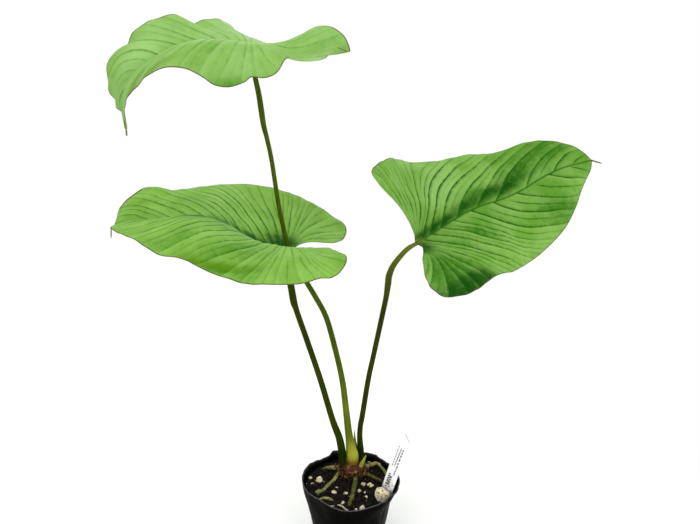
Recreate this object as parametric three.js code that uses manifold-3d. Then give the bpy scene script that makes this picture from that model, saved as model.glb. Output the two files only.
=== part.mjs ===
// Potted anthurium with three long-stalked, heart-shaped leaves. Millimetres, +Z up.
// The pot stands on z = 0 round the origin, and the photograph looks along +Y.
import * as THREE from 'three';
import { mergeVertices } from 'three/addons/utils/BufferGeometryUtils.js';
import Module from 'manifold-3d';

const wasm = await Module();
wasm.setup();

// Gap kept between pieces that rest on or in each other
const GAP = 0.3;

// Pot: a tapered thin-walled nursery pot, 105 mm across its rim
const POT = {
  rimRadius: 52.5,
  baseRadius: 35,
  height: 94,
  wall: 1.1,
  floor: 1.4,
  drainRadius: 4,
  drainRing: 24,
  drains: 5,
  steps: 48,
};
// Heights of the rings that the wall is built from
const WALL_LEVELS = [0, 30, 50, 70, 84];
// How far the cut rim drops below the full height: angle in degrees, drop in mm
const RIM_CUTS = [
  [0, 4], [8, 3.7], [24, 2.2], [32, 2.5], [46, 3.3], [56, 1.5], [73, 2.1], [88, 1], [105, 0.3], [112, 0.4],
  [117, 4.8], [127, 5.3], [135, 3.7], [145, 2.6], [160, 2.4], [190, 2], [208, 1.4], [226, 0.6], [245, 1.2],
  [262, 2.6], [290, 2.6], [315, 2.8], [324, 1.5], [332, 2.8], [342, 6.6], [352, 6.4], [360, 4],
];
// Dents in the thin wall: angle and width in degrees, then the depth at each height
const DENTS = [
  { at: 226, width: 20, depths: [[30, 0], [70, 3.4]] },
  { at: 345, width: 48, depths: [[0, 0], [30, 3.2], [70, 3.2], [84, 0]] },
  { at: 350, width: 22, depths: [[84, 0], [87, -2]] },
];
// Potting mix: it is lower at the wall, from the line y = front forwards
const MIX = { level: 82, mound: 4, edge: 78, front: 20, behind: 40, roughness: 1.3 };

// Crown, the swollen stem base
const CROWN = { x: 2.5, y: 22, foot: 68, shoulder: 93, top: 98.6, wide: 15.2, deep: 11.8 };

// Stalks: points along the centre line, and radius at each point
const STALKS = {
  left: {
    points: [
      [-7.5, 19.4, 88], [-8, 19, 97], [-8.7, 18.5, 107], [-9, 18.1, 116], [-11.8, 17.9, 133],
      [-16.8, 17.5, 149], [-20.6, 17, 163], [-31, 14.5, 207], [-44, 12, 254.5], [-52, 10, 283],
      [-55.8, 9, 298], [-58.2, 8.4, 315], [-60, 8.2, 328], [-61.3, 8.3, 340], [-62, 8.5, 347.3],
    ],
    radii: [3.2, 3.4, 3.6, 3.7, 3.3, 3, 2.8, 2.7, 2.6, 2.6, 2.7, 3.2, 3.4, 3.1, 2.5],
    colour: '#3a4a10',
  },
  middle: {
    points: [
      [3, 22, 88], [3, 21.8, 97], [2.8, 21.6, 103], [2.2, 21.5, 110], [1, 21.4, 117], [-0.2, 21.2, 126],
      [-1.3, 20.7, 136], [-2.4, 20.1, 147], [-4, 19, 165], [-8, 17, 204], [-15, 14.5, 242],
      [-24, 12.5, 280], [-34.6, 11.6, 303.5], [-43.3, 11.5, 320], [-51.5, 11.9, 337], [-57, 12.1, 350.8],
      [-61.7, 10.4, 365], [-67.5, 4.8, 402.4], [-71.8, -3, 447.5], [-75, -6, 469], [-77.5, -7.5, 482],
      [-79, -9, 497], [-80.6, -10.5, 512], [-84, -12.5, 532], [-85.8, -14, 545.2],
    ],
    radii: [4.4, 5.7, 6.3, 6.3, 5.4, 4.4, 3.9, 3.7, 3.4, 3.1, 2.9, 2.8, 2.7, 2.6, 2.5, 2.35, 2.3, 2.2, 2.1,
      2.1, 2.4, 2.6, 2.4, 2.1, 1.9],
    colour: '#65742a',
  },
  right: {
    points: [
      [12, 26.6, 88], [12.1, 26.7, 97], [12, 26.5, 104], [11.6, 25.8, 112], [11, 24.4, 121],
      [10.6, 22.2, 133], [11.2, 19.4, 147], [13.2, 16.6, 162], [19, 12.4, 208], [24, 9, 238], [30, 6, 273],
      [35.5, 3, 306], [37.2, 1, 322], [38.2, 0, 332], [42, -1.2, 343], [50, -2.4, 355], [57, -3, 362.4],
      [61.6, -3.1, 365.2],
    ],
    radii: [3.2, 3.4, 3.4, 3.5, 3.2, 2.9, 2.8, 2.8, 2.7, 2.6, 2.6, 2.7, 3.2, 3.2, 2.8, 2.5, 2.3, 1.8],
    colour: '#3a4a10',
  },
};

// Blades. Each is drawn flat, with s along the midrib from the stalk and y across it, and is then
// bent: heading and sweep turn the midrib in plan, pitch is its rise at PITCH_AT, roll leans the
// blade to its left, and the slopes are how steeply each half rises from the midrib, at the
// midrib and out at SLOPE_SPAN, for the stations of SLOPE_AT. Waves ripple the margin and quilting
// swells the blade between veins. Veins leave the midrib in pairs, spaced by BLADE.pairing, and
// crowding sets how far towards the tip those of each half run.
const PITCH_AT = [-60, 0, 50, 100, 150, 200];
const SLOPE_AT = [-60, 0, 60, 120, 190];
const SLOPE_SPAN = 65;
const BLADES = {
  left: {
    junction: [-62.1, 8.5, 350.2], heading: 178.2, sweep: -5.6, roll: 34.9,
    pitch: [-23.5, 11.6, 35.1, -2.9, -9.7, -34.1],
    leftInner: [14, 15, -12, -22, -27], leftOuter: [-43, -37, -53, -56, -38],
    rightInner: [13, 56, 37, 51, 62], rightOuter: [45, 51, 50, 39, 62],
    left: [
      [-2.5, 0], [-9, 16], [-18, 33], [-43, 38], [-54, 54], [-66, 73], [-59, 89], [-39, 96], [-17, 105],
      [10, 106], [42, 97], [74, 88], [105, 80], [134, 58], [157, 42], [176, 17], [187, 1],
    ],
    right: [
      [-2.5, 0], [-3, 14], [-18, 32], [-42, 38], [-54, 49], [-59, 68], [-56, 85], [-41, 97], [-19, 102],
      [9, 103], [44, 101], [76, 84], [109, 74], [140, 58], [168, 59], [191, 25], [187, 1],
    ],
    crowding: [1.9, 2.6], drip: [-1, -1, -10], waves: [0.3, 0.25], quilting: 0.8, colour: '#6fa046',
  },
  upper: {
    junction: [-86, -14.2, 548.6], heading: 179, sweep: -9.3, roll: 5.5,
    pitch: [-26, 11, -10, -32, -90, -99],
    leftInner: [72, 47, 28, -31, -65], leftOuter: [-72, -72, -55, -32, -28],
    rightInner: [2, 32, 22, 67, 29], rightOuter: [-22, -27, 33, 58, 33],
    left: [
      [-4, 0], [-11, 6], [-27, 14], [-48, 29], [-72, 43], [-82, 69], [-61, 72], [-40, 63], [-20, 69],
      [6, 78], [28, 76], [56, 63], [82, 52], [109, 38], [135, 31], [155, 15], [165, 1],
    ],
    right: [
      [-4, 0], [-14, 3], [-32, 9], [-50, 24], [-64, 42], [-70, 62], [-60, 68], [-40, 62], [-16, 66],
      [10, 82], [36, 75], [60, 58], [86, 54], [110, 37], [132, 35], [155, 16], [165, 1],
    ],
    crowding: [1.9, 2.4], drip: [0, 0, -7], waves: [0.3, 1.2], quilting: 0.35, colour: '#8ab964',
  },
  right: {
    junction: [65, -2, 367.6], heading: 39.5, sweep: -9.3, roll: 38,
    pitch: [-26, 11, 16, 5, 23, 7],
    leftInner: [43, 58, 13, 2, 6], leftOuter: [8, 18, -14, -16, -10],
    rightInner: [29, 38, 17, 5, 1.5], rightOuter: [18, 22, 0, -6, -8],
    left: [
      [-2.5, 0], [-1, 9], [-2, 22], [-12, 42], [-30, 54], [-42, 66], [-46, 78], [-33, 84], [-16, 87],
      [4, 87], [39, 80], [76, 68], [114, 65], [150, 50], [182, 40], [212, 21], [223, 1],
    ],
    right: [
      [-2.5, 0], [-2, 8], [-11, 18], [-25, 32], [-38, 48], [-45, 63], [-44, 75], [-32, 82], [-14, 86],
      [5, 84], [38, 77], [71, 77], [107, 71], [147, 57], [178, 42], [206, 20], [223, 1],
    ],
    crowding: [2.6, 1.9], drip: [10, 5, -4], waves: [0.3, 0.3], quilting: 0.9, colour: '#5f9440',
  },
};
const BLADE = {
  thickness: 0.8,
  midribDepth: 1.1,
  midribWidth: 1.7,
  gutter: 3,
  veins: 20,
  rays: 40,
  dripRays: 4,
  steps: 6,
  lobeShare: 0.5,
  pairing: 2.2,
  bowBack: 0.2,
  bowForward: 0.09,
  hug: 0.26,
};

// Thick roots over the mix: points along the centre line, and radius at each point
const ROOTS = [
  {
    points: [[0, 21, 88], [-6.5, 21, 90], [-12.6, 16, 87.5], [-18.4, 6.5, 84.5], [-24, -0.5, 83.6],
      [-29.8, -8.4, 82.6], [-34, -11.4, 82.6], [-36.5, -13.5, 80.5]],
    radii: [2.2, 2.2, 1.9, 1.8, 1.7, 1.8, 3, 2],
  },
  {
    points: [[4, 19, 88], [5.9, 12, 88.4], [5.6, 3.6, 86], [4.4, -6, 84.3], [3.1, -15, 83.6],
      [1.1, -24.3, 83], [-1.1, -32, 80.8], [-2, -35, 77]],
    radii: [2.5, 2.5, 2.5, 2.5, 2.4, 2.4, 2.2, 1.6],
  },
  {
    points: [[6, 21, 87], [12.5, 19.5, 87.6], [19.3, 16.4, 86], [27.6, 11.6, 84.4], [35, 7.4, 82.4],
      [38.5, 5, 78]],
    radii: [2, 1.9, 1.7, 1.6, 1.5, 1.2],
  },
  {
    points: [[6, 23, 87], [13.1, 25.4, 88], [20, 28.6, 88.2], [26, 33.4, 86.8], [30.6, 34.6, 87],
      [35.1, 27.6, 86.6], [39.4, 21.6, 84], [41.5, 17, 78]],
    radii: [2.2, 2.2, 2.1, 1.9, 1.7, 1.6, 1.6, 1.3],
  },
  {
    points: [[0, 22.5, 88], [-8, 23.2, 89.6], [-14.4, 24.6, 88.4], [-21.2, 27.5, 86.2],
      [-27.5, 29.5, 84.6], [-31, 30, 82]],
    radii: [2.5, 2.6, 2.6, 2.2, 1.4, 0.7],
  },
];
// A root that shows between two dips into the mix, and the thin pale root at the front rim
const LOOSE_ROOTS = {
  root_lower_left: {
    points: [[-34.5, -23.5, 77.5], [-32, -23, 81.8], [-26, -21.8, 83.2], [-21.3, -23.2, 83],
      [-18.2, -24.4, 80.8], [-17, -25, 77.5]],
    radii: [1.4, 1.7, 1.8, 1.8, 1.7, 1.2],
    colour: '#7f8a34',
  },
  root_front_pale: {
    points: [[-27.5, -32.4, 79], [-25, -33, 81.4], [-19.1, -34.4, 82.8], [-12.4, -33.4, 83.2],
      [-8.2, -35.2, 83.2], [-4.3, -39, 82.4], [0, -40, 80.4], [2, -40, 78]],
    radii: [0.7, 0.8, 0.9, 0.9, 0.9, 0.8, 0.8, 0.6],
    colour: '#c9c3b0',
  },
};

// New shoot beside the crown, and the dry sheath tip between the stalks
const SHOOT = {
  points: [[11, 16.8, 88], [11.9, 17.3, 96], [14.5, 17.7, 102.5], [17.2, 18, 109]],
  radii: [2.2, 2.3, 1.8, 0.7],
};
const SHEATH_TIP = {
  points: [[7.6, 30, 90], [7.4, 29.4, 102], [6.8, 27.8, 114], [5.3, 25.6, 125], [4.8, 25.2, 137]],
  radii: [1.1, 1.1, 1.2, 1.3, 0.3],
};
// Papery sheath remains: angle round the crown, width in degrees, foot and height, outward lean
const PAPERS = [
  { at: 208, width: 56, foot: 87, height: 12, lean: 1.4 },
  { at: 262, width: 44, foot: 86, height: 9, lean: 1.9 },
  { at: 322, width: 58, foot: 86.5, height: 10, lean: 1.7 },
];
const PAPER = { thickness: 0.7, off: 2.2, columns: 8, rows: 4 };

// Plant label: a plastic stake, tapered at its foot
const LABEL = {
  width: 12.6, thickness: 0.8, length: 104, taper: 22, corner: [7.3, 8.5],
  foot: [32.5, -12, 60], lean: 14.5, turn: -12,
};

// Pumice grains lying on the mix: x, y and mean radius
const GRAINS = [
  [-44, 14, 2.2], [-34, 10, 4.6], [-40.5, 3, 2.4], [-42, -16.5, 2.4], [-17, -12, 3.2], [-14.5, -4, 2.2],
  [-5, -14, 2.6], [-8, -29, 2.6], [14.5, 1, 2.8], [22.5, 0, 3.6], [10.5, -9.5, 2.5], [17.5, -11, 2.4],
  [16.5, -19.5, 2.2], [12.5, -37, 3.4], [6.5, -39, 2], [12, 43, 2.4], [22, 40.5, 2.2],
];
// The largest piece is a broken block: its place, and its corners round that place
const BLOCK = {
  centre: [34, -21.8, 88.2],
  corners: [
    [-4, -4.5, -7.5], [1, -5, -8], [6, -4, -5], [8.5, -1.5, -1], [3, -4.8, 3.5], [-4, -4.6, 6],
    [-8, -3, 1], [-5.5, 1, 8.5], [-2.5, 1, 9.2], [1, 2, 7.5], [8, 3, 0], [-7.5, 3.6, 1], [-4, 4, -6],
    [4, 4, -7], [0, 4.2, 5],
  ],
};

const group = new THREE.Group();
group.name = 'potted_anthurium';

// Repeatable random numbers
let seed = 71;
function random() {
  seed = (seed * 16807) % 2147483647;
  return seed / 2147483647;
}

const rad = (deg) => (deg * Math.PI) / 180;
const clamp = (v, lo, hi) => Math.min(Math.max(v, lo), hi);

// A closed triangle mesh from points and faces, with equal points merged
function solid(positions, faces) {
  const geometry = new THREE.BufferGeometry();
  geometry.setAttribute('position', new THREE.Float32BufferAttribute(positions.flat(), 3));
  geometry.setIndex(faces.flat());
  const merged = mergeVertices(geometry, 2e-3);
  const index = merged.index.array;
  const kept = [];
  for (let i = 0; i < index.length; i += 3) {
    const [a, b, c] = [index[i], index[i + 1], index[i + 2]];
    if (a !== b && b !== c && c !== a) kept.push(a, b, c);
  }
  merged.setIndex(kept);
  return merged;
}

function toManifold(geometry) {
  return new wasm.Manifold(new wasm.Mesh({
    numProp: 3,
    vertProperties: new Float32Array(geometry.attributes.position.array),
    triVerts: new Uint32Array(geometry.index.array),
  }));
}

function toGeometry(body) {
  const mesh = body.getMesh();
  const points = [];
  for (let i = 0; i < mesh.numVert; i += 1) {
    const at = i * mesh.numProp;
    points.push(Array.from(mesh.vertProperties.slice(at, at + 3)));
  }
  return solid(points, [Array.from(mesh.triVerts)]);
}

function add(name, geometry, colour, roughness = 0.6) {
  const material = new THREE.MeshStandardMaterial({ color: colour, roughness, metalness: 0 });
  const mesh = new THREE.Mesh(geometry, material);
  mesh.name = name;
  group.add(mesh);
}

// A smooth curve through points, with the same number of samples in every span
function through(points, perSpan) {
  const n = points.length;
  const ends = [
    points[0].map((v, k) => 2 * v - points[1][k]),
    ...points,
    points[n - 1].map((v, k) => 2 * v - points[n - 2][k]),
  ];
  const out = [];
  for (let i = 1; i < n; i += 1) {
    for (let j = 0; j < perSpan; j += 1) {
      const t = j / perSpan;
      out.push(ends[i].map((b, k) => {
        const [a, c, d] = [ends[i - 1][k], ends[i + 1][k], ends[i + 2][k]];
        return 0.5 * (2 * b + (c - a) * t + (2 * a - 5 * b + 4 * c - d) * t * t
          + (3 * b - a - 3 * c + d) * t * t * t);
      }));
    }
  }
  out.push([...points[n - 1]]);
  return out;
}

// A closed round rod of changing radius along points, with domed ends
function rod(points, radii, sides, grow = 0) {
  const path = points.map((p) => new THREE.Vector3(...p));
  const size = radii.map((r) => r + grow);
  const last = path.length - 1;
  const tangents = path.map((p, i) => path[Math.min(i + 1, last)].clone()
    .sub(path[Math.max(i - 1, 0)]).normalize());
  let normal = new THREE.Vector3(0, 1, 0).cross(tangents[0]).normalize();
  const positions = [];
  const rings = [];
  function ring(centre, tangent, radius) {
    normal = normal.clone().addScaledVector(tangent, -normal.dot(tangent)).normalize();
    const side = tangent.clone().cross(normal);
    const start = positions.length;
    for (let k = 0; k < sides; k += 1) {
      const a = (2 * Math.PI * k) / sides;
      const p = centre.clone().addScaledVector(normal, radius * Math.cos(a))
        .addScaledVector(side, radius * Math.sin(a));
      positions.push(p.toArray());
    }
    rings.push(start);
  }
  const dome = 0.5;
  const tip = 0.6;
  ring(path[0].clone().addScaledVector(tangents[0], -dome * size[0]), tangents[0], tip * size[0]);
  path.forEach((p, i) => ring(p, tangents[i], size[i]));
  ring(path[last].clone().addScaledVector(tangents[last], dome * size[last]), tangents[last], tip * size[last]);
  const faces = [];
  for (let r = 0; r + 1 < rings.length; r += 1) {
    for (let k = 0; k < sides; k += 1) {
      const [a, b] = [rings[r] + k, rings[r] + ((k + 1) % sides)];
      const [c, d] = [rings[r + 1] + k, rings[r + 1] + ((k + 1) % sides)];
      faces.push([a, b, d], [a, d, c]);
    }
  }
  for (let k = 1; k + 1 < sides; k += 1) {
    faces.push([rings[0], rings[0] + k + 1, rings[0] + k]);
    const end = rings[rings.length - 1];
    faces.push([end, end + k, end + k + 1]);
  }
  return solid(positions, faces);
}

// A closed body from stacked rings of equal point counts, capped at both ends by a centre point
function stacked(rings, bottomCentre, topCentre) {
  const n = rings[0].length;
  const positions = rings.flat();
  const faces = [];
  for (let r = 0; r + 1 < rings.length; r += 1) {
    for (let k = 0; k < n; k += 1) {
      const [a, b] = [r * n + k, r * n + ((k + 1) % n)];
      faces.push([a, b, b + n], [a, b + n, a + n]);
    }
  }
  const low = positions.push(bottomCentre) - 1;
  const high = positions.push(topCentre) - 1;
  const lastRing = (rings.length - 1) * n;
  for (let k = 0; k < n; k += 1) {
    faces.push([low, (k + 1) % n, k]);
    faces.push([high, lastRing + k, lastRing + ((k + 1) % n)]);
  }
  return solid(positions, faces);
}

// Value at x of a smooth curve through stations, level beyond both ends
function station(x, xs, ys) {
  const n = xs.length;
  const slope = ys.map((y, i) => {
    if (i === 0) return (ys[1] - ys[0]) / (xs[1] - xs[0]);
    if (i === n - 1) return (ys[n - 1] - ys[n - 2]) / (xs[n - 1] - xs[n - 2]);
    const [back, ahead] = [xs[i] - xs[i - 1], xs[i + 1] - xs[i]];
    return (back * back * ys[i + 1] + (ahead * ahead - back * back) * y - ahead * ahead * ys[i - 1])
      / (back * ahead * (back + ahead));
  });
  let i = 0;
  while (i < n - 2 && x > xs[i + 1]) i += 1;
  const h = xs[i + 1] - xs[i];
  const t = clamp((x - xs[i]) / h, 0, 1);
  return (2 * t ** 3 - 3 * t ** 2 + 1) * ys[i] + (t ** 3 - 2 * t ** 2 + t) * h * slope[i]
    + (3 * t ** 2 - 2 * t ** 3) * ys[i + 1] + (t ** 3 - t ** 2) * h * slope[i + 1];
}

// The bent blade: gives the point of the sheet for a place (s, y) on the flat blade
function bentSheet(b) {
  const step = 5;
  const from = -110;
  const count = 69;
  const frames = [];
  for (let i = 0; i < count; i += 1) {
    const s = from + i * step;
    const rise = rad(station(s, PITCH_AT, b.pitch));
    const turn = rad(b.heading + (b.sweep * s) / 100);
    const ground = Math.cos(rise);
    const along = new THREE.Vector3(ground * Math.cos(turn), ground * Math.sin(turn), Math.sin(rise));
    const level = new THREE.Vector3(-Math.sin(turn), Math.cos(turn), 0);
    const up = along.clone().cross(level);
    const lean = rad(b.roll);
    frames.push({
      along,
      side: level.clone().multiplyScalar(Math.cos(lean)).addScaledVector(up, Math.sin(lean)),
      up: up.clone().multiplyScalar(Math.cos(lean)).addScaledVector(level, -Math.sin(lean)),
      centre: new THREE.Vector3(...b.junction),
    });
  }
  const zero = -from / step;
  for (let i = zero + 1; i < count; i += 1) {
    frames[i].centre = frames[i - 1].centre.clone()
      .addScaledVector(frames[i].along.clone().add(frames[i - 1].along), step / 2);
  }
  for (let i = zero - 1; i >= 0; i -= 1) {
    frames[i].centre = frames[i + 1].centre.clone()
      .addScaledVector(frames[i].along.clone().add(frames[i + 1].along), -step / 2);
  }
  return (s, y) => {
    const place = clamp((s - from) / step, 0, count - 1.001);
    const i = Math.floor(place);
    const f = place - i;
    const centre = frames[i].centre.clone().lerp(frames[i + 1].centre, f);
    const side = frames[i].side.clone().lerp(frames[i + 1].side, f);
    const up = frames[i].up.clone().lerp(frames[i + 1].up, f);
    const inner = station(s, SLOPE_AT, y >= 0 ? b.leftInner : b.rightInner);
    const outer = station(s, SLOPE_AT, y >= 0 ? b.leftOuter : b.rightOuter);
    const width = Math.abs(y);
    const parts = 8;
    let [across, lift] = [0, 0];
    for (let k = 0; k < parts; k += 1) {
      const x = (k + 0.5) / parts;
      const at = width * x * x;
      const out = clamp(at / SLOPE_SPAN, 0, 1.6);
      const slope = rad(inner + (outer - inner) * out) * (1 - Math.exp(-at / BLADE.gutter));
      across += (2 * x * Math.cos(slope)) / parts;
      lift += (2 * x * Math.sin(slope)) / parts;
    }
    return centre.addScaledVector(side, y * across).addScaledVector(up, width * lift);
  };
}

// The place at a share of the length of a flat outline
function outline(points) {
  const line = through(points, 8);
  const reach = [0];
  for (let i = 1; i < line.length; i += 1) {
    reach.push(reach[i - 1] + Math.hypot(line[i][0] - line[i - 1][0], line[i][1] - line[i - 1][1]));
  }
  const total = reach[reach.length - 1];
  return (share) => {
    let i = 0;
    while (i < reach.length - 2 && reach[i + 1] < share * total) i += 1;
    const f = clamp((share * total - reach[i]) / (reach[i + 1] - reach[i]), 0, 1);
    return [0, 1].map((c) => line[i][c] + (line[i + 1][c] - line[i][c]) * f);
  };
}

// The flat place at a share t of a ray from its start on the midrib to its end on the margin. The
// ray bows away from the midrib, and near the cleft it hugs the margin instead.
function rayPlace(margin, row, t) {
  const [dx, dy] = [row.end[0] - row.start, row.end[1]];
  const span = Math.max(Math.hypot(dx, dy), GAP);
  const bow = (dx < 0 ? BLADE.bowBack : BLADE.bowForward) * 4 * t * (1 - t);
  const ray = [row.start + dx * t - (bow * dx * dy) / span, dy * t + bow * (span - (dy * dy) / span)];
  const hug = row.u < BLADE.hug ? (1 - row.u / BLADE.hug) ** 1.5 : 0;
  const close = margin(row.u * t);
  return [0, 1].map((c) => ray[c] + (close[c] - ray[c]) * hug);
}

// A blade: rays run from the stalk or the midrib to the margin, as its veins do, on both halves.
// Both faces share one pattern of triangles, and the underside has a raised midrib.
function blade(b) {
  const sheet = bentSheet(b);
  const length = b.left[b.left.length - 1][0];
  const { rays, dripRays, steps, lobeShare, pairing } = BLADE;
  const drip = new THREE.Vector3(...b.drip);
  const dripLength = drip.length();
  const rows = [];
  for (const hand of [1, -1]) {
    const margin = outline(hand > 0 ? b.left : b.right);
    const crowding = b.crowding[hand > 0 ? 0 : 1];
    for (let k = 0; k <= rays + dripRays; k += 1) {
      const past = clamp((k / rays - lobeShare) / (1 - lobeShare), 0, 1);
      const u = past > 0 ? lobeShare + (1 - lobeShare) * past ** (pairing / crowding) : k / rays;
      let end = margin(u);
      let start = length * past ** pairing;
      if (k > rays) {
        const out = (k - rays) / dripRays;
        start = length + dripLength * out;
        end = [start, out < 1 ? 1 - 0.4 * out : 0];
      }
      rows.push({ hand, k, u, start, end, margin });
    }
  }
  const [top, bottom] = [[], []];
  for (const row of rows) {
    for (let j = 0; j <= steps; j += 1) {
      const t = j / steps;
      const [s, wide] = row.start > length ? [row.start, row.end[1] * t] : rayPlace(row.margin, row, t);
      const y = row.hand * wide;
      const flat = Math.min(s, length);
      const point = sheet(flat, y);
      const ahead = sheet(flat + 0.5, y).sub(sheet(flat - 0.5, y));
      const across = sheet(flat, y + 0.5).sub(sheet(flat, y - 0.5));
      const normal = ahead.cross(across).normalize();
      if (s > length) point.addScaledVector(drip, (s - length) / dripLength);
      const fade = clamp(row.u * 10, 0, 1) * clamp((1 - row.u) * 12, 0, 1);
      const phase = Math.cos((2 * Math.PI * row.k * BLADE.veins) / rays);
      const wave = b.waves[row.hand > 0 ? 0 : 1] * t ** 4;
      const relief = -fade * phase * (b.quilting * Math.sin(Math.PI * t) + wave);
      const ridge = s <= length ? BLADE.midribDepth * (1 - (0.7 * Math.max(s, 0)) / length)
        * Math.exp(-((y / BLADE.midribWidth) ** 2)) : 0;
      const half = BLADE.thickness / 2;
      top.push(point.clone().addScaledVector(normal, relief + half).toArray());
      bottom.push(point.clone().addScaledVector(normal, relief - half - ridge).toArray());
    }
  }
  const n = top.length;
  const faces = [];
  const perRow = steps + 1;
  const rowsPerHand = rays + dripRays + 1;
  for (const hand of [0, 1]) {
    const base = hand * rowsPerHand * perRow;
    const put = (a, b1, c) => {
      faces.push(hand ? [a, c, b1] : [a, b1, c]);
      faces.push(hand ? [n + a, n + b1, n + c] : [n + a, n + c, n + b1]);
    };
    for (let k = 0; k + 1 < rowsPerHand; k += 1) {
      for (let j = 0; j < steps; j += 1) {
        const a = base + k * perRow + j;
        put(a, a + perRow + 1, a + 1);
        put(a, a + perRow, a + perRow + 1);
      }
      const [p, q] = [base + k * perRow + steps, base + (k + 1) * perRow + steps];
      faces.push(hand ? [p, n + q, q] : [p, q, n + q]);
      faces.push(hand ? [p, n + p, n + q] : [p, n + q, n + p]);
    }
  }
  return solid([...top, ...bottom], faces);
}

// Value at x on straight lines through pairs of place and value, level beyond both ends
function between(x, pairs) {
  let i = 0;
  while (i < pairs.length - 2 && x > pairs[i + 1][0]) i += 1;
  const [[from, value], [next, nextValue]] = [pairs[i], pairs[i + 1]];
  return value + (nextValue - value) * clamp((x - from) / (next - from), 0, 1);
}

const degrees = (angle) => (((angle * 180) / Math.PI) % 360 + 360) % 360;

// Pot wall at a height and angle. It is dented, and the rim is a little out of round.
function potOuter(z, angle) {
  const straight = POT.baseRadius + ((POT.rimRadius - POT.baseRadius) * z) / POT.height;
  const dent = DENTS.reduce((sum, d) => {
    const away = Math.abs(degrees(angle) - d.at);
    return sum + between(z, d.depths) * Math.exp(-((Math.min(away, 360 - away) / d.width) ** 2));
  }, 0);
  const crumple = clamp((z - 84) / 9, 0, 1);
  return straight - dent + crumple * (0.7 * Math.sin(3 * angle + 0.6) + 0.5 * Math.sin(7 * angle));
}

const rimHeight = (angle) => POT.height - between(degrees(angle), RIM_CUTS);

function circle(radiusAt, heightAt) {
  const out = [];
  for (let k = 0; k < POT.steps; k += 1) {
    const a = (2 * Math.PI * k) / POT.steps;
    out.push([radiusAt(a) * Math.cos(a), radiusAt(a) * Math.sin(a), heightAt(a)]);
  }
  return out;
}

function pot() {
  const outside = WALL_LEVELS.map((z) => circle((a) => potOuter(z, a), () => z));
  const rim = (inset) => circle((a) => potOuter(rimHeight(a), a) - inset, rimHeight);
  const inside = [...WALL_LEVELS.slice(1).reverse(), POT.floor]
    .map((z) => circle((a) => potOuter(z, a) - POT.wall, () => z));
  const shell = toManifold(stacked(
    [...outside, rim(0), rim(POT.wall), ...inside],
    [0, 0, 0],
    [0, 0, POT.floor],
  ));
  let drained = shell;
  for (let k = 0; k < POT.drains; k += 1) {
    const a = (2 * Math.PI * (k + 0.5)) / POT.drains;
    const [x, y] = [POT.drainRing * Math.cos(a), POT.drainRing * Math.sin(a)];
    const plug = new THREE.CylinderGeometry(POT.drainRadius, POT.drainRadius, 4 * POT.floor, 16);
    plug.rotateX(Math.PI / 2);
    plug.translate(x, y, 0);
    plug.deleteAttribute('normal');
    plug.deleteAttribute('uv');
    drained = drained.subtract(toManifold(mergeVertices(plug)));
  }
  return toGeometry(drained);
}

// Height of the mix: lowest at the front of the wall, heaped round the crown, with seeded crumbs
function mixHeight(x, y, crumb = 0) {
  const edge = clamp((Math.hypot(x, y) - 38) / 12, 0, 1) * clamp((MIX.front - y) / MIX.behind, 0, 1);
  const near = Math.exp(-(((x - CROWN.x) ** 2 + (y - CROWN.y) ** 2) / 420));
  return MIX.level + MIX.mound * near - (MIX.level - MIX.edge) * edge + crumb;
}

function mixBody() {
  const rings = 9;
  const wallAt = (z) => (a) => potOuter(z, a) - POT.wall - GAP;
  const low = POT.floor + GAP;
  const brim = (a) => mixHeight(POT.rimRadius * Math.cos(a), POT.rimRadius * Math.sin(a));
  const layers = [low, ...WALL_LEVELS.slice(1, -1)].map((z) => circle(wallAt(z), () => z));
  layers.push(circle((a) => wallAt(brim(a))(a), brim));
  for (let r = rings - 1; r > 0; r -= 1) {
    const share = r / rings;
    const ring = circle((a) => wallAt(MIX.edge)(a) * share * (1 + 0.03 * (random() - 0.5)), () => 0);
    layers.push(ring.map(([x, y]) => [x, y, mixHeight(x, y, MIX.roughness * (random() - 0.5) * 2)]));
  }
  return toManifold(stacked(layers, [0, 0, low], [0, 0, mixHeight(0, 0)]));
}

// Crown: a swollen, slightly lumpy stub, flat-bottomed in the mix
function crownBody(grow = 0) {
  const levels = [
    [CROWN.foot - grow, 0.62], [CROWN.foot + 6, 0.78], [82, 0.92], [88, 1.02], [CROWN.shoulder, 1],
    [95.5, 0.92], [97.4, 0.75], [CROWN.top - 0.4, 0.45],
  ];
  const sides = 18;
  const rings = levels.map(([z, share], i) => {
    const ring = [];
    for (let k = 0; k < sides; k += 1) {
      const a = (2 * Math.PI * k) / sides;
      const lump = share * (1 + 0.04 * Math.sin(3 * a + i * 0.9));
      const [across, back] = [CROWN.wide * lump + grow, CROWN.deep * lump + grow];
      ring.push([CROWN.x + across * Math.cos(a), CROWN.y + back * Math.sin(a), z]);
    }
    return ring;
  });
  return toManifold(stacked(
    rings,
    [CROWN.x, CROWN.y, CROWN.foot - grow],
    [CROWN.x, CROWN.y, CROWN.top + grow],
  ));
}

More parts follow.
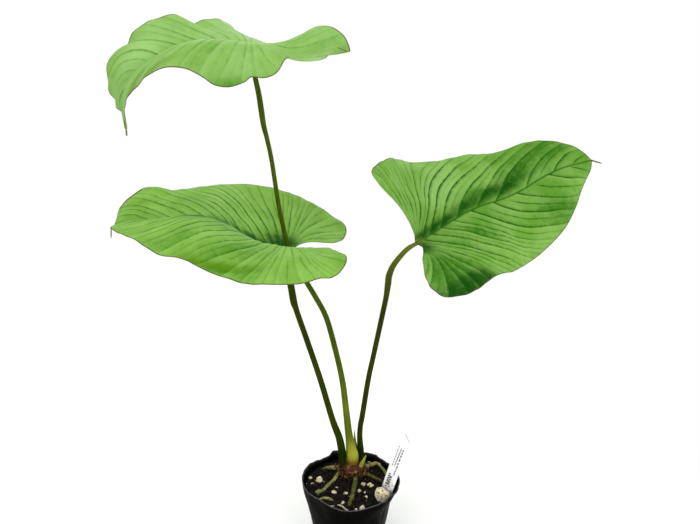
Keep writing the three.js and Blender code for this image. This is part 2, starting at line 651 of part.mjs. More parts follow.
// A thin papery remnant: a curved patch standing off the crown, torn along its top
function paper(p) {
  const { columns, rows, thickness, off } = PAPER;
  const faceOut = [];
  const faceIn = [];
  const tears = Array.from({ length: columns + 1 }, () => 0.55 + 0.45 * random());
  for (let j = 0; j <= rows; j += 1) {
    for (let i = 0; i <= columns; i += 1) {
      const a = rad(p.at + p.width * (i / columns - 0.5));
      const share = j / rows;
      const z = p.foot + p.height * share * tears[i];
      const stand = off + p.lean * share * share + 0.4 * Math.sin(5 * a + j);
      for (const [list, at] of [[faceOut, stand + thickness], [faceIn, stand]]) {
        list.push([CROWN.x + (CROWN.wide + at) * Math.cos(a), CROWN.y + (CROWN.deep + at) * Math.sin(a), z]);
      }
    }
  }
  const n = faceOut.length;
  const wide = columns + 1;
  const faces = [];
  for (let j = 0; j < rows; j += 1) {
    for (let i = 0; i < columns; i += 1) {
      const a = j * wide + i;
      const quads = [[a, a + 1, a + wide + 1], [a, a + wide + 1, a + wide]];
      for (const [x, y, z] of quads) faces.push([x, y, z], [n + x, n + z, n + y]);
    }
  }
  const edge = [];
  for (let i = 0; i < columns; i += 1) edge.push(i);
  for (let j = 0; j < rows; j += 1) edge.push(j * wide + columns);
  for (let i = columns; i > 0; i -= 1) edge.push(rows * wide + i);
  for (let j = rows; j > 0; j -= 1) edge.push(j * wide);
  edge.forEach((a, i) => {
    const b = edge[(i + 1) % edge.length];
    faces.push([a, n + a, b], [b, n + a, n + b]);
  });
  return solid([...faceOut, ...faceIn], faces);
}

// Label: a flat stake turned to face the front and leaning to the right, with its top right corner cut
function label(grow = 0) {
  const { width, thickness, length, taper, corner } = LABEL;
  const half = width / 2 + grow;
  const shape = new THREE.Shape();
  shape.moveTo(-1.5 - grow, -grow);
  shape.lineTo(1.5 + grow, -grow);
  shape.lineTo(half, taper);
  shape.lineTo(half, length - corner[1]);
  shape.lineTo(half - corner[0], length);
  shape.lineTo(-half, length);
  shape.lineTo(-half, taper);
  shape.closePath();
  const geometry = new THREE.ExtrudeGeometry(shape, { depth: thickness + 2 * grow, bevelEnabled: false });
  geometry.translate(0, 0, -thickness / 2 - grow);
  geometry.rotateX(Math.PI / 2);
  geometry.rotateY(rad(LABEL.lean));
  geometry.rotateZ(rad(LABEL.turn));
  geometry.translate(...LABEL.foot);
  geometry.deleteAttribute('normal');
  geometry.deleteAttribute('uv');
  return mergeVertices(geometry);
}

// A broken grain: an uneven ball squashed a little, sunk in the mix to about half its height
function grain([x, y, r], shape, grow = 0) {
  const geometry = new THREE.IcosahedronGeometry(1, 1);
  geometry.deleteAttribute('normal');
  geometry.deleteAttribute('uv');
  const merged = mergeVertices(geometry);
  const points = merged.attributes.position;
  const centre = mixHeight(x, y) + r * 0.25;
  for (let i = 0; i < points.count; i += 1) {
    const p = new THREE.Vector3().fromBufferAttribute(points, i);
    const lump = 1 + 0.14 * Math.sin(2.3 * p.x + shape) + 0.12 * Math.sin(3.1 * p.y - 2 * shape)
      + 0.1 * Math.sin(3.7 * p.z + 3 * shape);
    const size = r * lump + grow;
    points.setXYZ(i, x + p.x * size, y + p.y * size * 0.9, centre + p.z * size * 0.78);
  }
  return merged;
}

// The broken block of pumice
function block(grow = 0) {
  return wasm.Manifold.hull(BLOCK.corners.map((corner) => {
    const p = new THREE.Vector3(...corner);
    return p.setLength(p.length() + grow).add(new THREE.Vector3(...BLOCK.centre)).toArray();
  }));
}

// Stalks stand in plain holes in the crown
const stalkSides = 10;
const rootSides = 8;
let crown = crownBody();
for (const root of ROOTS) crown = crown.add(toManifold(rod(root.points, root.radii, rootSides)));
const standing = [...Object.values(STALKS), SHOOT, SHEATH_TIP];
for (const s of standing) {
  crown = crown.subtract(toManifold(rod(s.points.slice(0, 4), s.radii.slice(0, 4), stalkSides, GAP)));
}

// The mix has a plain hole or seat for everything that stands or lies in it
let mix = mixBody().subtract(crownBody(GAP));
for (const r of [...ROOTS, ...Object.values(LOOSE_ROOTS)]) {
  mix = mix.subtract(toManifold(rod(r.points, r.radii, rootSides, GAP)));
}
mix = mix.subtract(toManifold(label(GAP)));
mix = mix.subtract(block(2 * GAP));
GRAINS.forEach((g, i) => {
  mix = mix.subtract(toManifold(grain(g, i, GAP)));
});

add('pot', pot(), '#0b0c0a', 0.35);
add('potting_mix', toGeometry(mix), '#1c120b', 0.95);
add('crown_and_roots', toGeometry(crown), '#8a9038', 0.6);
for (const [name, s] of Object.entries(STALKS)) {
  add(`stalk_${name}`, rod(s.points, s.radii, stalkSides), s.colour, 0.45);
}
for (const [name, b] of Object.entries(BLADES)) add(`blade_${name}`, blade(b), b.colour, 0.4);
add('new_shoot', rod(SHOOT.points, SHOOT.radii, stalkSides), '#8fae4a', 0.5);
add('sheath_tip', rod(SHEATH_TIP.points, SHEATH_TIP.radii, 8), '#8c9448', 0.6);
PAPERS.forEach((p, i) => {
  let remnant = toManifold(paper(p));
  for (const r of ROOTS) remnant = remnant.subtract(toManifold(rod(r.points, r.radii, rootSides, GAP)));
  add(`papery_sheath_${i + 1}`, toGeometry(remnant), '#7a4a2c', 0.85);
});
for (const [name, r] of Object.entries(LOOSE_ROOTS)) {
  add(name, rod(r.points, r.radii, rootSides), r.colour, 0.7);
}
add('plant_label', label(), '#e6e6e4', 0.4);
GRAINS.forEach((g, i) => add(`pumice_grain_${String(i + 1).padStart(2, '0')}`, grain(g, i), '#d8d0b8', 0.9));

add('pumice_block', toGeometry(block()), '#d8d0b8', 0.9);

export default group;
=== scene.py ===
"""Potted anthurium with three long-stalked, heart-shaped leaves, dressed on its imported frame.

Every piece is a numpy surface in metres in the row frame: the blades are flat leaf outlines bent
along their midribs, the stalks and roots are round rods of changing girth carried along a path,
the pot is a turned wall with a cut rim, and the mix is a crumbly sheet with loose chips on it.
"""

import bmesh
import bpy
import numpy as np
from bpy.props import FloatProperty, FloatVectorProperty, IntProperty, PointerProperty
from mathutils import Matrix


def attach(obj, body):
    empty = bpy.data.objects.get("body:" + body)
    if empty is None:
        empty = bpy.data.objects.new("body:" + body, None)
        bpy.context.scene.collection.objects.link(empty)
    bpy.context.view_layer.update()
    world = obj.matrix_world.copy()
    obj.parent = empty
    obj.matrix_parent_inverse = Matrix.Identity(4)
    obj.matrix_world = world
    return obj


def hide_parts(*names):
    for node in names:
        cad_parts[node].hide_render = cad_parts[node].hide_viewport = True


bl_info = {
    "name": "Potted anthurium",
    "version": (1, 0, 0),
    "blender": (4, 5, 0),
    "location": "3D View > Sidebar > Anthurium",
    "description": "Dresses the packed frame of a potted anthurium as a finished plant",
    "category": "Object",
}

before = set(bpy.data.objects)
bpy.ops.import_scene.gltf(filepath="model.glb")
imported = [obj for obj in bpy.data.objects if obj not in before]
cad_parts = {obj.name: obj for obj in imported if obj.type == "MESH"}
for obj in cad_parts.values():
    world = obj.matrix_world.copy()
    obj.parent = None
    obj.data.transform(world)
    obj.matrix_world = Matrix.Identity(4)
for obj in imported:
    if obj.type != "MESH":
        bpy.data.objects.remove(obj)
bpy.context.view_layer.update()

MM = 0.001

# Sizes that the blades, stalks and roots share with the frame's own solids, in millimetres and degrees

# Places along the midrib, from the leaf joint, where its pitch and the slopes of both halves are given
PITCH_AT = (-60, 0, 50, 100, 150, 200)
SLOPE_AT = (-60, 0, 60, 120, 190)
# Across a half: level at the midrib, its inner slope past the gutter, and on to its outer slope over the
# span, beyond which it turns on to at most this many times the difference
SLOPE_SPAN = 65
MOST_TURN = 1.6
GUTTER = 3
# Side veins of a half, the share of its rays that starts at the leaf joint, and how the others crowd to it
VEINS = 20
LOBE_SHARE = 0.5
PAIRING = 2.2
# Bow of a vein, as a share of its length, where it points back and where it points forward
BOW = (0.2, 0.09)
# Share of the margin, counted from the cleft, whose rays follow the margin itself
HUG = 0.26
# Length of a rod's rounded end, as a share of its radius
CAP_LENGTH = 0.9
# Half the thickness of a blade, then height and half width of the rib beneath it
BLADE_HALF = 0.4
RIB_HEIGHT = 1.3
RIB_WIDTH = 1.7
# Distance to the margin that the drip tip is given, so that the margin's brown line ends before it
NO_RIM = 5

# For each blade: its place, its bends, the outlines of both flat halves from the cleft to the tip as
# (along, across), the reach of its drip tip, waves and flounces of the margin, the latter as (share of the
# margin, height), crowding of the rays towards the tip, relief, and soft spots as (along, across, length,
# width, share): warm yellow green, deep green that is partly painted shade and partly darker tissue,
# painted sheen, painted shade deepest round the stalk, calm ones where the veins fade, and lips where the
# brown margin is wider
BLADES = {
    "left": {
        "junction": (-62.1, 8.5, 350.2), "heading": 178.2, "sweep": -5.6, "roll": 34.9,
        "pitch": (-23.5, 11.6, 35.1, -2.9, -9.7, -34.1),
        "left_slopes": ((14, 15, -12, -22, -27), (-43, -37, -53, -56, -38)),
        "right_slopes": ((13, 56, 37, 51, 62), (45, 51, 50, 39, 62)),
        "left": [
            (-2.5, 0), (-6, 8), (-9, 16), (-12, 25), (-18, 33), (-31, 35), (-43, 38), (-49, 46), (-54, 54),
            (-61, 64), (-66, 73), (-65, 82), (-59, 89), (-50, 95), (-39, 96), (-28, 101), (-17, 105),
            (-5, 107), (10, 106), (26, 103), (42, 97), (59, 93), (74, 88), (89, 83), (105, 80), (120, 70),
            (134, 58), (146, 50), (157, 42), (168, 30), (176, 17), (182, 8), (187, 1),
        ],
        "right": [
            (-2.5, 0), (0, 6), (-3, 14), (-8, 24), (-18, 32), (-30, 36), (-42, 38), (-49, 42), (-54, 49),
            (-57, 58), (-59, 68), (-59, 77), (-56, 85), (-49, 91), (-41, 97), (-31, 101), (-19, 102),
            (-6, 102), (9, 103), (26, 103), (44, 101), (61, 93), (76, 84), (93, 78), (109, 74), (125, 66),
            (140, 58), (155, 62), (168, 59), (181, 43), (191, 25), (193, 14), (187, 1),
        ],
        "drip": (-1, -1, -10), "waves": (0.3, 0.25), "flounces": ((), ()),
        "crowding": (1.9, 2.6), "quilting": 0.8,
        "warm": (
            (55, 85, 34, 6, 0.9), (80, 84, 18, 7, 0.9), (-64, 86, 16, 8, 0.5), (-35, 76, 20, 8, 0.3),
            (184, 6, 12, 8, 0.3),
        ),
        "deep": (
            (30, -9, 34, 8, 0.9), (85, -5, 34, 4, 0.8), (172, -33, 26, 9, 0.6), (118, 62, 22, 9, 0.7),
            (50, 88, 46, 7, 1.0), (99, -26, 18, 12, 0.35), (-18, 86, 34, 14, 0.3), (158, -10, 26, 16, 0.35),
            (20, 96, 40, 5, 0.5), (109, 69, 16, 7, 0.6), (130, -60, 30, 4, 0.3), (57, 62, 44, 30, 0.6),
            (94, 54, 30, 24, 0.5), (60, 26, 50, 14, 0.4),
        ),
        "haze": (
            (78, -58, 28, 24, 0.8), (56, -41, 26, 12, 0.5), (-19, -67, 30, 22, 0.6), (125, 50, 30, 12, 0.25),
        ),
        "funnel": ((9, -18, 22, 18, 1.0), (38, -8, 36, 6, 0.9), (82, -5, 34, 3.5, 0.6), (2, 6, 8, 5, 0.5)),
        "calm": ((-25, 70, 45, 50, 0.65),), "lip": ((176, -48, 26, 26, 0.72),),
    },
    "upper": {
        "junction": (-86, -14.2, 548.6), "heading": 179, "sweep": -9.3, "roll": 5.5,
        "pitch": (-26, 11, -10, -32, -90, -99),
        "left_slopes": ((72, 47, 28, -31, -65), (-72, -72, -55, -32, -28)),
        "right_slopes": ((2, 32, 22, 67, 29), (-22, -27, 33, 58, 33)),
        "left": [
            (-4, 0), (-6, 3), (-11, 6), (-18, 10), (-27, 14), (-36, 21), (-48, 29), (-60, 34), (-72, 43),
            (-80, 57), (-82, 66), (-80.5, 75.5), (-76, 71), (-71.5, 67.5), (-61, 72), (-49, 66.5),
            (-40, 59), (-33, 58), (-26, 67), (-18, 70), (-9, 69), (-4, 73.5), (6, 78), (18, 78), (28, 73),
            (42, 66), (56, 61), (68, 58), (82, 52), (96, 44), (109, 38), (122, 34), (135, 31), (146, 24),
            (155, 15), (161, 8), (165, 1),
        ],
        "right": [
            (-4, 0), (-8, 1), (-14, 3), (-22, 6), (-32, 9), (-41, 15), (-50, 24), (-58, 33), (-64, 42),
            (-68, 53), (-70, 62), (-66, 67), (-60, 68), (-50, 65), (-40, 62), (-29, 62), (-16, 66),
            (-2, 74), (10, 82), (23, 82), (36, 75), (48, 66), (60, 58), (73, 59), (86, 54), (100, 44),
            (110, 37), (120, 37), (132, 35), (144, 26), (155, 16), (160, 10), (165, 1),
        ],
        "drip": (0, 0, -7), "waves": (0.3, 1.2), "flounces": (
            ((0.66, 0), (0.714, -1), (0.756, -3.5), (0.8, -5.5), (0.84, -3), (0.9, 0)),
            ((0.5, 0), (0.53, -2.4), (0.57, 1.2), (0.593, -0.5), (0.614, 0.4), (0.64, -3.2),
             (0.67, -2.4), (0.7, 1.2), (0.716, 1.6), (0.736, -1.6), (0.755, 1.4), (0.78, 0),
             (0.813, -3), (0.84, 1.2), (0.87, 1.2), (0.91, 0)),
        ),
        "crowding": (1.9, 2.4), "quilting": 0.24,
        "warm": ((-78, 72, 8, 6, 0.6), (105, 36, 28, 5, 1.0), (76, 52, 28, 6, 1.0)),
        "deep": (
            (10, 78, 36, 9, 1.0), (-68, 60, 20, 9, 0.55), (112, -8, 20, 5, 0.3), (22, 44, 24, 16, 0.6),
            (36, 60, 12, 12, 0.5),
        ),
        "haze": (
            (40, 30, 20, 10, 0.45), (100, -20, 26, 16, 0.7), (-56, 69, 14, 5, 0.8), (-5, 50, 12, 5, 0.2),
        ),
        "funnel": ((10, 81, 26, 3.5, 0.4),),
        "calm": ((-10, 60, 60, 60, 0.35),), "lip": (),
    },
    "right": {
        "junction": (65, -2, 367.6), "heading": 39.5, "sweep": -9.3, "roll": 38,
        "pitch": (-26, 11, 16, 5, 23, 7),
        "left_slopes": ((43, 58, 13, 2, 6), (8, 18, -14, -16, -10)),
        "right_slopes": ((29, 38, 17, 5, 1.5), (18, 22, 0, -6, -8)),
        "left": [
            (-2.5, 0), (-2, 4), (-1, 9), (0, 15), (-2, 22), (-6, 32), (-12, 42), (-21, 49), (-30, 54),
            (-37, 60), (-42, 66), (-46, 73), (-46, 78), (-41, 82), (-33, 84), (-25, 86), (-16, 87),
            (-7, 87), (4, 87), (20, 85), (39, 80), (58, 74), (76, 68), (95, 67), (114, 65), (133, 57),
            (150, 50), (167, 46), (182, 40), (198, 31), (212, 21), (219, 11), (223, 1),
        ],
        "right": [
            (-2.5, 0), (-2, 4), (-2, 8), (-5, 12), (-11, 18), (-18, 24), (-25, 32), (-32, 40), (-38, 48),
            (-42, 56), (-45, 63), (-45, 69), (-44, 75), (-39, 79), (-32, 82), (-23, 85), (-14, 86),
            (-6, 86), (5, 84), (20, 80), (38, 77), (54, 78), (71, 77), (89, 75), (107, 71), (127, 64),
            (147, 57), (163, 50), (178, 42), (193, 31), (206, 20), (216, 11), (223, 1),
        ],
        "drip": (13, 6.5, -5), "waves": (0.3, 0.3), "flounces": ((), ()),
        "crowding": (2.6, 1.9), "quilting": 0.9,
        "warm": ((8, 44, 8, 6, 0.4), (-44, 80, 10, 6, 0.3), (214, 4, 10, 6, 0.5)),
        "deep": (
            (136, 13, 36, 10, 1.0), (100, 12, 40, 9, 0.9), (155, 24, 36, 18, 1.0), (180, 26, 34, 22, 1.1),
            (139, 44, 26, 12, 0.6), (60, 4, 50, 5, 0.9), (-13, -53, 36, 34, 0.95), (-14, -74, 34, 18, 1.0),
            (52, -26, 60, 20, 0.75), (160, -32, 36, 26, 0.8), (110, -30, 30, 16, 0.3), (-17, 50, 30, 10, 0.2),
        ),
        "haze": (
            (54, 34, 30, 22, 0.9), (158, 7, 16, 6, 0.6), (-2, 69, 26, 14, 0.4), (112, -26, 34, 10, 0.2),
        ),
        "funnel": (
            (28, 4, 40, 6, 0.9), (75, 7, 40, 6, 0.8), (112, 11, 40, 8, 0.9), (136, 17, 30, 8, 0.6),
            (-4, -10, 12, 14, 0.8), (-20, -80, 38, 16, 1.1), (2, -78, 28, 14, 1.1), (136, 13, 26, 8, 0.7),
        ),
        "calm": ((-8, 66, 34, 30, 0.55),), "lip": ((140, -64, 20, 10, 0.5),),
    },
}

# For each stalk: the points of its path and its radius at each
STALKS = {
    "left": (
        [
            (-7.5, 19.4, 88), (-8, 19, 97), (-8.7, 18.5, 107), (-9, 18.1, 116), (-11.8, 17.9, 133),
            (-16.8, 17.5, 149), (-20.6, 17, 163), (-31, 14.5, 207), (-44, 12, 254.5), (-52, 10, 283),
            (-54.2, 9.5, 291.5), (-56.1, 9, 299), (-58.2, 8.4, 315), (-60, 8.2, 328), (-61.3, 8.3, 340),
            (-62, 8.5, 347.3),
        ],
        (3.4, 3.7, 4, 4.1, 3.8, 3.5, 3.2, 3.1, 2.95, 2.9, 3, 3.6, 3.5, 3.5, 3.1, 2.5),
    ),
    "middle": (
        [
            (3, 22, 88), (3, 21.8, 97), (2.8, 21.6, 103), (2.2, 21.5, 110), (1, 21.4, 117),
            (-0.2, 21.2, 126), (-1.3, 20.7, 136), (-2.4, 20.1, 147), (-4, 19, 165), (-8, 17, 204),
            (-15, 14.5, 242), (-24, 12.5, 280), (-34.6, 11.6, 303.5), (-43.3, 11.5, 320),
            (-51.5, 11.9, 337), (-57, 12.1, 350.8), (-61.7, 10.4, 365), (-67.5, 4.8, 402.4),
            (-71.8, -3, 447.5), (-75, -6, 469), (-77.5, -7.5, 482), (-79, -9, 497), (-80.6, -10.5, 512),
            (-84, -12.5, 532), (-85.8, -14, 545.2),
        ],
        (4.4, 5.7, 6.3, 6.3, 5.4, 4.4, 3.9, 3.7, 3.4, 3.1, 2.9, 2.8, 2.7, 2.6, 2.5, 2.35, 2.3, 2.2, 2.1,
         2.1, 2.4, 2.6, 2.4, 2.1, 1.9),
    ),
    "right": (
        [
            (12, 26.6, 88), (12.1, 26.7, 97), (12, 26.5, 104), (11.6, 25.8, 112), (11, 24.4, 121),
            (10.6, 22.2, 133), (11.2, 19.4, 147), (13.2, 16.6, 162), (19, 12.4, 208), (24, 9, 238),
            (30, 6, 273), (35.5, 3, 306), (37.2, 1, 322), (38.2, 0, 332), (42, -1.2, 343), (50, -2.4, 355),
            (57, -3, 362.4), (61.6, -3.1, 365.2),
        ],
        (3.2, 3.4, 3.4, 3.5, 3.2, 2.9, 2.8, 2.8, 2.7, 2.6, 2.6, 2.7, 3.2, 3.2, 2.8, 2.5, 2.3, 1.8),
    ),
}

# The crown: place of its axis, and half its width and depth
CROWN = {"x": 2.5, "y": 22, "wide": 15.2, "deep": 11.8}
# Height and share of the full width of the crown's rings
CROWN_RINGS = (
    (68, 0.62), (74, 0.78), (82, 0.92), (88, 1.02), (93, 1.0), (95.5, 0.92), (97.4, 0.75), (98.2, 0.45),
    (98.6, 0.0001),
)
# Half widths of the oval round the crown that loose bits stay out of
CROWN_CLEAR = (16, 12.5)
# Ruled dashes on the label: place across at the lower and upper end, both ends, step, half width, strength
DASHES = (
    (-3.2, -2.6, 60, 89, 3.1, 0.42, 0.6), (-0.7, 0.4, 61, 85.5, 2.3, 0.52, 1.0),
    (2.1, 2.9, 64, 85, 4.3, 0.6, 1.0), (2.1, 2.2, 57, 62.5, 2.6, 0.75, 1.0),
    (1.6, 1.8, 49.5, 56, 3.4, 0.65, 1.0), (-2.9, -2.6, 33, 51, 3.9, 1.0, 1.0),
    (-0.8, -0.4, 35, 48.5, 3.3, 1.0, 1.0),
)
# Where most values of a noise lie
NOISE_SPAN = (0.3, 0.7)
# What the blades' points carry for their material
LEAF_MARKS = (
    "phase", "spread", "strength", "second", "rib_mm", "rim_mm", "funnel", "deep", "warm", "haze", "drip",
    "face",
)
# For each root: the points of its path, its radius at each, and its skin. The first ones grow from the crown,
# and the loose ones are solids of their own in the frame.
ROOTS = {
    "left": (
        [(0, 21, 88), (-6.5, 21, 90), (-12.6, 16, 87.5), (-18.4, 6.5, 84.5), (-24, -0.5, 83.6),
         (-29.8, -8.4, 82.6), (-34, -11.4, 82.6), (-36.5, -13.5, 80.5)],
        (2.2, 2.2, 1.9, 1.8, 1.7, 1.8, 3, 2), "fresh",
    ),
    "centre": (
        [(4, 19, 88), (5.9, 12, 88.4), (5.6, 3.6, 86), (4.4, -6, 84.3), (3.1, -15, 83.6), (1.1, -24.3, 83),
         (-1.1, -32, 80.8), (-2, -35, 77)],
        (2.5, 2.5, 2.5, 2.5, 2.4, 2.4, 2.2, 1.6), "olive",
    ),
    "right": (
        [(6, 21, 87), (12.5, 19.5, 87.6), (19.3, 16.4, 86), (27.6, 11.6, 84.4), (35, 7.4, 82.4),
         (38.5, 5, 78)],
        (2, 1.9, 1.7, 1.6, 1.5, 1.2), "olive",
    ),
    "back_right": (
        [(6, 23, 87), (13.1, 25.4, 88), (20, 28.6, 88.2), (26, 33.4, 86.8), (30.6, 34.6, 87),
         (35.1, 27.6, 86.6), (39.4, 21.6, 84), (41.5, 17, 78)],
        (2.2, 2.2, 2.1, 1.9, 1.7, 1.6, 1.6, 1.3), "tan",
    ),
    "back_left": (
        [(0, 22.5, 88), (-8, 23.2, 89.6), (-14.4, 24.6, 88.4), (-21.2, 27.5, 86.2), (-27.5, 29.5, 84.6),
         (-31, 30, 82)],
        (2.5, 2.6, 2.6, 2.2, 1.4, 0.7), "tan",
    ),
}
LOOSE_ROOTS = {
    "root_lower_left": (
        [(-34.5, -23.5, 77.5), (-32, -23, 81.8), (-26, -21.8, 83.2), (-21.3, -23.2, 83),
         (-18.2, -24.4, 80.8), (-17, -25, 77.5)],
        (1.4, 1.7, 1.8, 1.8, 1.7, 1.2), "fresh",
    ),
    "root_front_pale": (
        [(-27.5, -32.4, 79), (-25, -33, 81.4), (-19.1, -34.4, 82.8), (-12.4, -33.4, 83.2),
         (-8.2, -35.2, 83.2), (-4.3, -39, 82.4), (0, -40, 80.4), (2, -40, 78)],
        (0.7, 0.8, 0.9, 0.9, 0.9, 0.8, 0.8, 0.6), "pale",
    ),
}
# Paths and radii of the new shoot, and of the sheath tip between two stalks
SHOOT = (
    [(11, 16.8, 88), (11.9, 17.3, 96), (14.5, 17.7, 102.5), (17.2, 18, 109)],
    (2.2, 2.3, 1.8, 0.7),
)
SHEATH_TIP = (
    [(7.6, 30, 90), (7.4, 29.4, 102), (6.8, 27.8, 114), (5.3, 25.6, 125), (4.8, 25.2, 137)],
    (1.1, 1.1, 1.2, 1.3, 0.3),
)
# The label, with its cut corner as (across, down), and its lean and turn in degrees
LABEL = {
    "width": 12.6, "thickness": 0.8, "length": 104, "taper": 22, "corner": (7.3, 8.5),
    "foot": (32.5, -12, 60), "lean": 14.5, "turn": -12,
}
# Places and radii of the pumice grains, and the broken block by its corners round its centre
GRAINS = (
    (-44, 14, 2.2), (-34, 10, 4.6), (-40.5, 3, 2.4), (-42, -16.5, 2.4), (-17, -12, 3.2), (-14.5, -4, 2.2),
    (-5, -14, 2.6), (-8, -29, 2.6), (14.5, 1, 2.8), (22.5, 0, 3.6), (10.5, -9.5, 2.5), (17.5, -11, 2.4),
    (16.5, -19.5, 2.2), (12.5, -37, 3.4), (6.5, -39, 2), (12, 43, 2.4), (22, 40.5, 2.2),
)
BLOCK = {
    "centre": (34, -21.8, 88.2),
    "corners": [
        (-4, -4.5, -7.5), (1, -5, -8), (6, -4, -5), (8.5, -1.5, -1), (3, -4.8, 3.5), (-4, -4.6, 6),
        (-8, -3, 1), (-5.5, 1, 8.5), (-2.5, 1, 9.2), (1, 2, 7.5), (8, 3, 0), (-7.5, 3.6, 1), (-4, 4, -6),
        (4, 4, -7), (0, 4.2, 5),
    ],
}
# How far the rim is cut below its full height, by angle in degrees
RIM_CUTS = (
    (0, 4), (8, 3.7), (24, 2.2), (32, 2.5), (46, 3.3), (56, 1.5), (73, 2.1), (88, 1), (105, 0.3),
    (112, 0.4), (117, 4.8), (127, 5.3), (135, 3.7), (145, 2.6), (160, 2.4), (190, 2), (208, 1.4),
    (226, 0.6), (245, 1.2), (262, 2.6), (290, 2.6), (315, 2.8), (324, 1.5), (332, 2.8), (342, 6.6),
    (352, 6.4), (360, 4),
)
# Dents in the wall: angle and width in degrees, and their depth by height
DENTS = (
    {"at": 226, "width": 20, "depths": ((30, 0), (70, 3.4))},
    {"at": 345, "width": 48, "depths": ((0, 0), (30, 3.2), (70, 3.2), (84, 0))},
    {"at": 350, "width": 22, "depths": ((84, 0), (87, -2))},
)
# Creases pressed into the wall: angle, width in degrees, depth, and the height they start from
CREASES = (
    (322, 2.4, 1.0, 40), (336, 3.0, 0.8, 60), (352, 2.2, 0.7, 64), (258, 3.4, 0.5, 30), (204, 2.6, 0.5, 50),
)
# Papery sheath remnants: angle and width in degrees, height of the foot, height, and lean of the top
PAPERS = (
    {"at": 208, "width": 56, "foot": 87, "height": 12, "lean": 1.4},
    {"at": 262, "width": 44, "foot": 86, "height": 9, "lean": 1.9},
    {"at": 322, "width": 58, "foot": 86.5, "height": 10, "lean": 1.7},
)
# The pot's floor and drain holes, and the height up to which the wall stands behind the mix
FLOOR = 1.4
DRAINS = {"count": 5, "from_axis": 24, "radius": 4}
FILLED_TO = 82
# The mix: its heap round the crown, its fall towards the front wall, and the play that loose bits and crumbs
# have inside the wall, whose radius is taken at this height
HEAP = {"height": 4, "spread": 420}
FALL = {"height": 4, "from_axis": 38, "over": 12, "front": 20, "depth": 40}
MIX_RIM = {"height": 79, "gap": 0.6}

# Height of the white floor, just under the pot
FLOOR_TOP = -0.2
# The photograph's camera: focal length and width in pixels, place in metres, and degrees it looks down
FOCAL_PX = 850
WIDTH_PX = 700
SENSOR_MM = 36.0
EYE = (0.0, -0.759, 0.662)
LOOK_DOWN = 22.6


# Numbers and curves


def linear(hexed):
    """sRGB hex to linear RGBA: v / 12.92 up to 0.04045, else ((v + 0.055) / 1.055) ** 2.4."""
    v = np.array([int(hexed[i:i + 2], 16) for i in (1, 3, 5)]) / 255
    v = np.where(v <= 0.04045, v / 12.92, ((v + 0.055) / 1.055) ** 2.4)
    return (*v.tolist(), 1.0)


def through(points, per_span):
    """Catmull-Rom curve through points a, b, c, d from b to c: half of
    2b + (c - a) t + (2a - 5b + 4c - d) t2 + (3b - a - 3c + d) t3."""
    p = np.asarray(points, float)
    if p.ndim == 1:
        p = p[:, None]
    q = np.vstack([2 * p[0] - p[1], p, 2 * p[-1] - p[-2]])
    t = (np.arange(per_span) / per_span)[None, :, None]
    a, b, c, d = q[:-3, None], q[1:-2, None], q[2:-1, None], q[3:, None]
    squared, cubed = 2 * a - 5 * b + 4 * c - d, 3 * b - a - 3 * c + d
    curve = 0.5 * (2 * b + (c - a) * t + squared * t**2 + cubed * t**3)
    return np.vstack([curve.reshape(-1, p.shape[1]), p[-1:]])


def station(x, xs, ys):
    """Cubic Hermite curve through stations, with centred slopes, level beyond both ends."""
    xs, ys = np.asarray(xs, float), np.asarray(ys, float)
    slope = np.gradient(ys, xs)
    i = np.clip(np.searchsorted(xs, x) - 1, 0, len(xs) - 2)
    h = xs[i + 1] - xs[i]
    t = np.clip((x - xs[i]) / h, 0, 1)
    return ((2 * t**3 - 3 * t**2 + 1) * ys[i] + (t**3 - 2 * t**2 + t) * h * slope[i]
            + (3 * t**2 - 2 * t**3) * ys[i + 1] + (t**3 - t**2) * h * slope[i + 1])


def unit(v):
    """Vectors at length one."""
    return v / np.maximum(np.linalg.norm(v, axis=-1, keepdims=True), 1e-12)


def smooth(x, low, high):
    """Smoothstep from low to high."""
    t = np.clip((x - low) / (high - low), 0, 1)
    return t * t * (3 - 2 * t)


def rumple(p, size, seed, octaves=3, waves=14):
    """Soft noise at points: a sum of seeded sine waves of random direction, each octave half as long and high
    as the one before."""
    rng = np.random.default_rng(seed)
    p = np.asarray(p, float)
    total = np.zeros(p.shape[:-1])
    for octave in range(octaves):
        k = unit(rng.normal(size=(waves, p.shape[-1]))) * rng.uniform(0.7, 1.4, (waves, 1))
        k *= 2 * np.pi * 2**octave / size
        phase = rng.uniform(0, 2 * np.pi, waves)
        total += np.sin(p @ k.T + phase).sum(-1) / 2**octave
    return total / (0.5 * waves) ** 0.5


# Meshes


